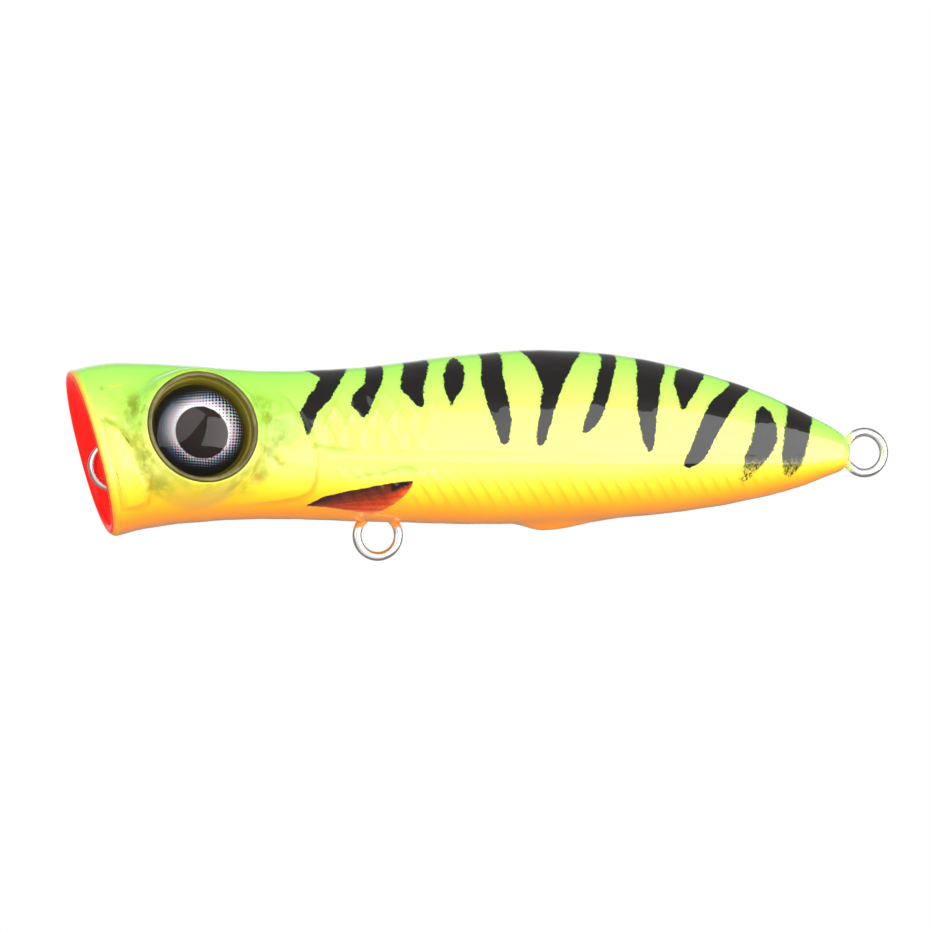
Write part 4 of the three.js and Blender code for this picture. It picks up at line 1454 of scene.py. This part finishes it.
def bearing_ball(name, node, body, material):
    """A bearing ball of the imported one's size."""
    low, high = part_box(node)
    mesh = bmesh.new()
    bmesh.ops.create_icosphere(mesh, subdivisions=5, radius=(high.x - low.x) / 2)
    bmesh.ops.translate(mesh, verts=mesh.verts, vec=(low + high) / 2)
    data = bpy.data.meshes.new(name)
    mesh.to_mesh(data)
    mesh.free()
    data.materials.append(material)
    shade_smooth(data)
    stand_for(linked_object(name, data), node, body)


# ---- Studio ----
VIEW_YAW = math.radians(-13.0)
VIEW_DISTANCE = 0.5
VIEW_LENS = 144.85
VIEW_TARGET = Vector((0.0472, 0, 0))
FLOOR_RADIUS = 1150.0
FLOOR_DROP = 256.0


def add_camera():
    data = bpy.data.cameras.new("Camera")
    data.sensor_width = 36.0
    data.lens = VIEW_LENS
    data.clip_start, data.clip_end = 0.01, 50.0
    camera = linked_object("Camera", data)
    back = Vector((math.sin(VIEW_YAW), -math.cos(VIEW_YAW), 0))
    camera.location = VIEW_TARGET + back * VIEW_DISTANCE
    camera.rotation_euler = (-back).to_track_quat("-Z", "Y").to_euler()
    bpy.context.scene.camera = camera


def add_softbox(
    name, azimuth, elevation, distance, size, radiance, turn=0.0, seen_in_gloss=True, only=None,
):
    """An area light that faces the lure. radiance is how bright its left and its right edge are."""
    azimuth, elevation = math.radians(azimuth), math.radians(elevation)
    flat = math.cos(elevation)
    back = Vector((math.sin(azimuth) * flat, -math.cos(azimuth) * flat, math.sin(elevation)))
    data = bpy.data.lights.new(name, "AREA")
    data.shape = "RECTANGLE"
    data.size, data.size_y = size
    data.energy = math.pi * size[0] * size[1]
    data.use_nodes = True
    build = Tree(data.node_tree)
    place = build.add("ShaderNodeNewGeometry").outputs["Parametric"]
    across = build.add("ShaderNodeSeparateXYZ", Vector=place)
    strength = build.add("ShaderNodeMapRange", Value=across.outputs["X"])
    strength.inputs["To Min"].default_value, strength.inputs["To Max"].default_value = radiance
    build.give(data.node_tree.nodes["Emission"].inputs["Strength"], strength.outputs[0])
    light = linked_object(name, data)
    light.location = VIEW_TARGET + back * distance
    facing = (-back).to_track_quat("-Z", "Y").to_matrix().to_4x4()
    light.rotation_euler = (facing @ Matrix.Rotation(math.radians(turn), 4, "Z")).to_euler()
    light.visible_camera = False
    light.visible_glossy = seen_in_gloss
    if only:
        receivers = bpy.data.collections.new(name + " receivers")
        for obj in only:
            receivers.objects.link(obj)
        light.light_linking.receiver_collection = receivers


def add_studio(wires):
    """White surroundings, softboxes on both sides of the camera, and fills that leave no highlights."""
    world = bpy.data.worlds.new("Studio")
    world.use_nodes = True
    bpy.context.scene.world = world
    build = Tree(world.node_tree)
    surround = world.node_tree.nodes["Background"]
    surround.inputs["Color"].default_value = (1, 1, 1, 1)
    rays = build.add("ShaderNodeLightPath")
    direction = build.add("ShaderNodeTexCoord").outputs["Generated"]
    toward = build.add("ShaderNodeSeparateXYZ", Vector=direction)
    behind = build.step(toward.outputs["Y"], 0.82, 0.98)
    behind = build.times(behind, build.step(toward.outputs["Z"], -0.2, 0.05))
    mirrored = build.line(behind, 0.65, 0.25)
    diffuse = 0.37
    seen = build.line(rays.outputs["Is Camera Ray"], 1.0 - diffuse, diffuse)
    dimmed = build.times(rays.outputs["Is Glossy Ray"], build.minus(mirrored, diffuse))
    build.give(surround.inputs["Strength"], build.math("ADD", seen, dimmed))

    add_softbox("Key softbox", 31.5, 5.5, 1.0, (1.56, 1.02), (1.8, 3.2), turn=-11)
    add_softbox("Left softbox", -48, 22, 1.0, (1.05, 1.3), (1.4, 1.4), turn=-16)
    add_softbox("Top fill", 0, 78, 1.2, (1.4, 1.4), (0.9, 0.9), seen_in_gloss=False)
    add_softbox("Belly fill", -10, -55, 1.1, (1.4, 1.0), (1.9, 1.9), seen_in_gloss=False)
    add_softbox("Rear fill", 180, 25, 1.2, (1.4, 1.2), (1.4, 1.4), seen_in_gloss=False)

    add_softbox("Wire card below", -20, -38, 0.9, (1.3, 0.9), (0.7, 0.7), only=wires)
    add_softbox("Wire card above", -10, 62, 0.9, (1.3, 0.9), (0.7, 0.7), only=wires)

    material, build, shader, place = new_material("Studio floor")
    shader.inputs["Roughness"].default_value = 0.8
    tone = build.noise(place, 6.0, 3.0, 0.5)
    build.give(shader.inputs["Base Color"], build.mix(tone, (0.86, 0.86, 0.86, 1), (0.84, 0.84, 0.84, 1)))
    slab = [(0, 0), (FLOOR_RADIUS, 0), (FLOOR_RADIUS, 6), (0, 6)]
    place = Matrix.Translation((VIEW_TARGET.x / MM, 0, -FLOOR_DROP))
    floor = lathe("studio_floor", slab, [material], 128, place)
    floor.visible_glossy = False


GROUPS = {"edge": paint_edge_group(), "coat": clear_coat_group()}
WIRE_TREE = bent_wire_nodes()
MOULDING_TREE = moulding_nodes()
PAINT = body_paint(GROUPS)
PLASTIC = moulded_plastic(GROUPS)
SOCKET = socket_paint_and_shade(GROUPS)
RIM = rim_paint(GROUPS)
WIRE = steel_wire(GROUPS)
BELLY_WIRE = steel_wire(GROUPS, "Oversprayed belly wire", srgb(246, 150, 60))
TAIL_WIRE = steel_wire(GROUPS, "Oversprayed tail wire", srgb(214, 240, 120))
FOIL = printed_foil(GROUPS)
EPOXY = clear_epoxy()
BONDED = bonded_face()
BALLAST = turned_metal(GROUPS, "Turned ballast", srgb(150, 150, 152), srgb(112, 111, 112), 0.4)
BEARING = turned_metal(GROUPS, "Bearing steel", srgb(214, 215, 218), srgb(190, 191, 195), 0.12)

shell_half("left_half", "left_shell", -1, PAINT, PLASTIC, SOCKET, RIM)
shell_half("right_half", "right_shell", 1, PAINT, PLASTIC, SOCKET, RIM)
for side, word in ((-1, "left"), (1, "right")):
    eye_foil(f"{word}_eye_disc", f"{word}_eye_foil", side, FOIL)
    eye_dome(f"{word}_eye_dome", f"{word}_eye_lens", side, EPOXY, BONDED)
wires = [
    wire_eye("line_tie_wire", "line_tie", WIRE),
    wire_eye("belly_hanger_wire", "belly_hanger", BELLY_WIRE),
    wire_eye("tail_hanger_wire", "tail_hanger", TAIL_WIRE),
]
slug("belly_slug", "belly_weight", BALLAST)
slug("tail_slug", "tail_weight", BALLAST)
bearing_ball("knocker_bearing", "knocker_ball", "knocker", BEARING)
for number in (1, 2, 3):
    bearing_ball(f"rattle_bearing_{number}", f"rattle_ball_{number}", f"rattle_{number}", BEARING)

add_camera()
add_studio(wires)
bpy.context.scene.view_settings.view_transform = "Standard"
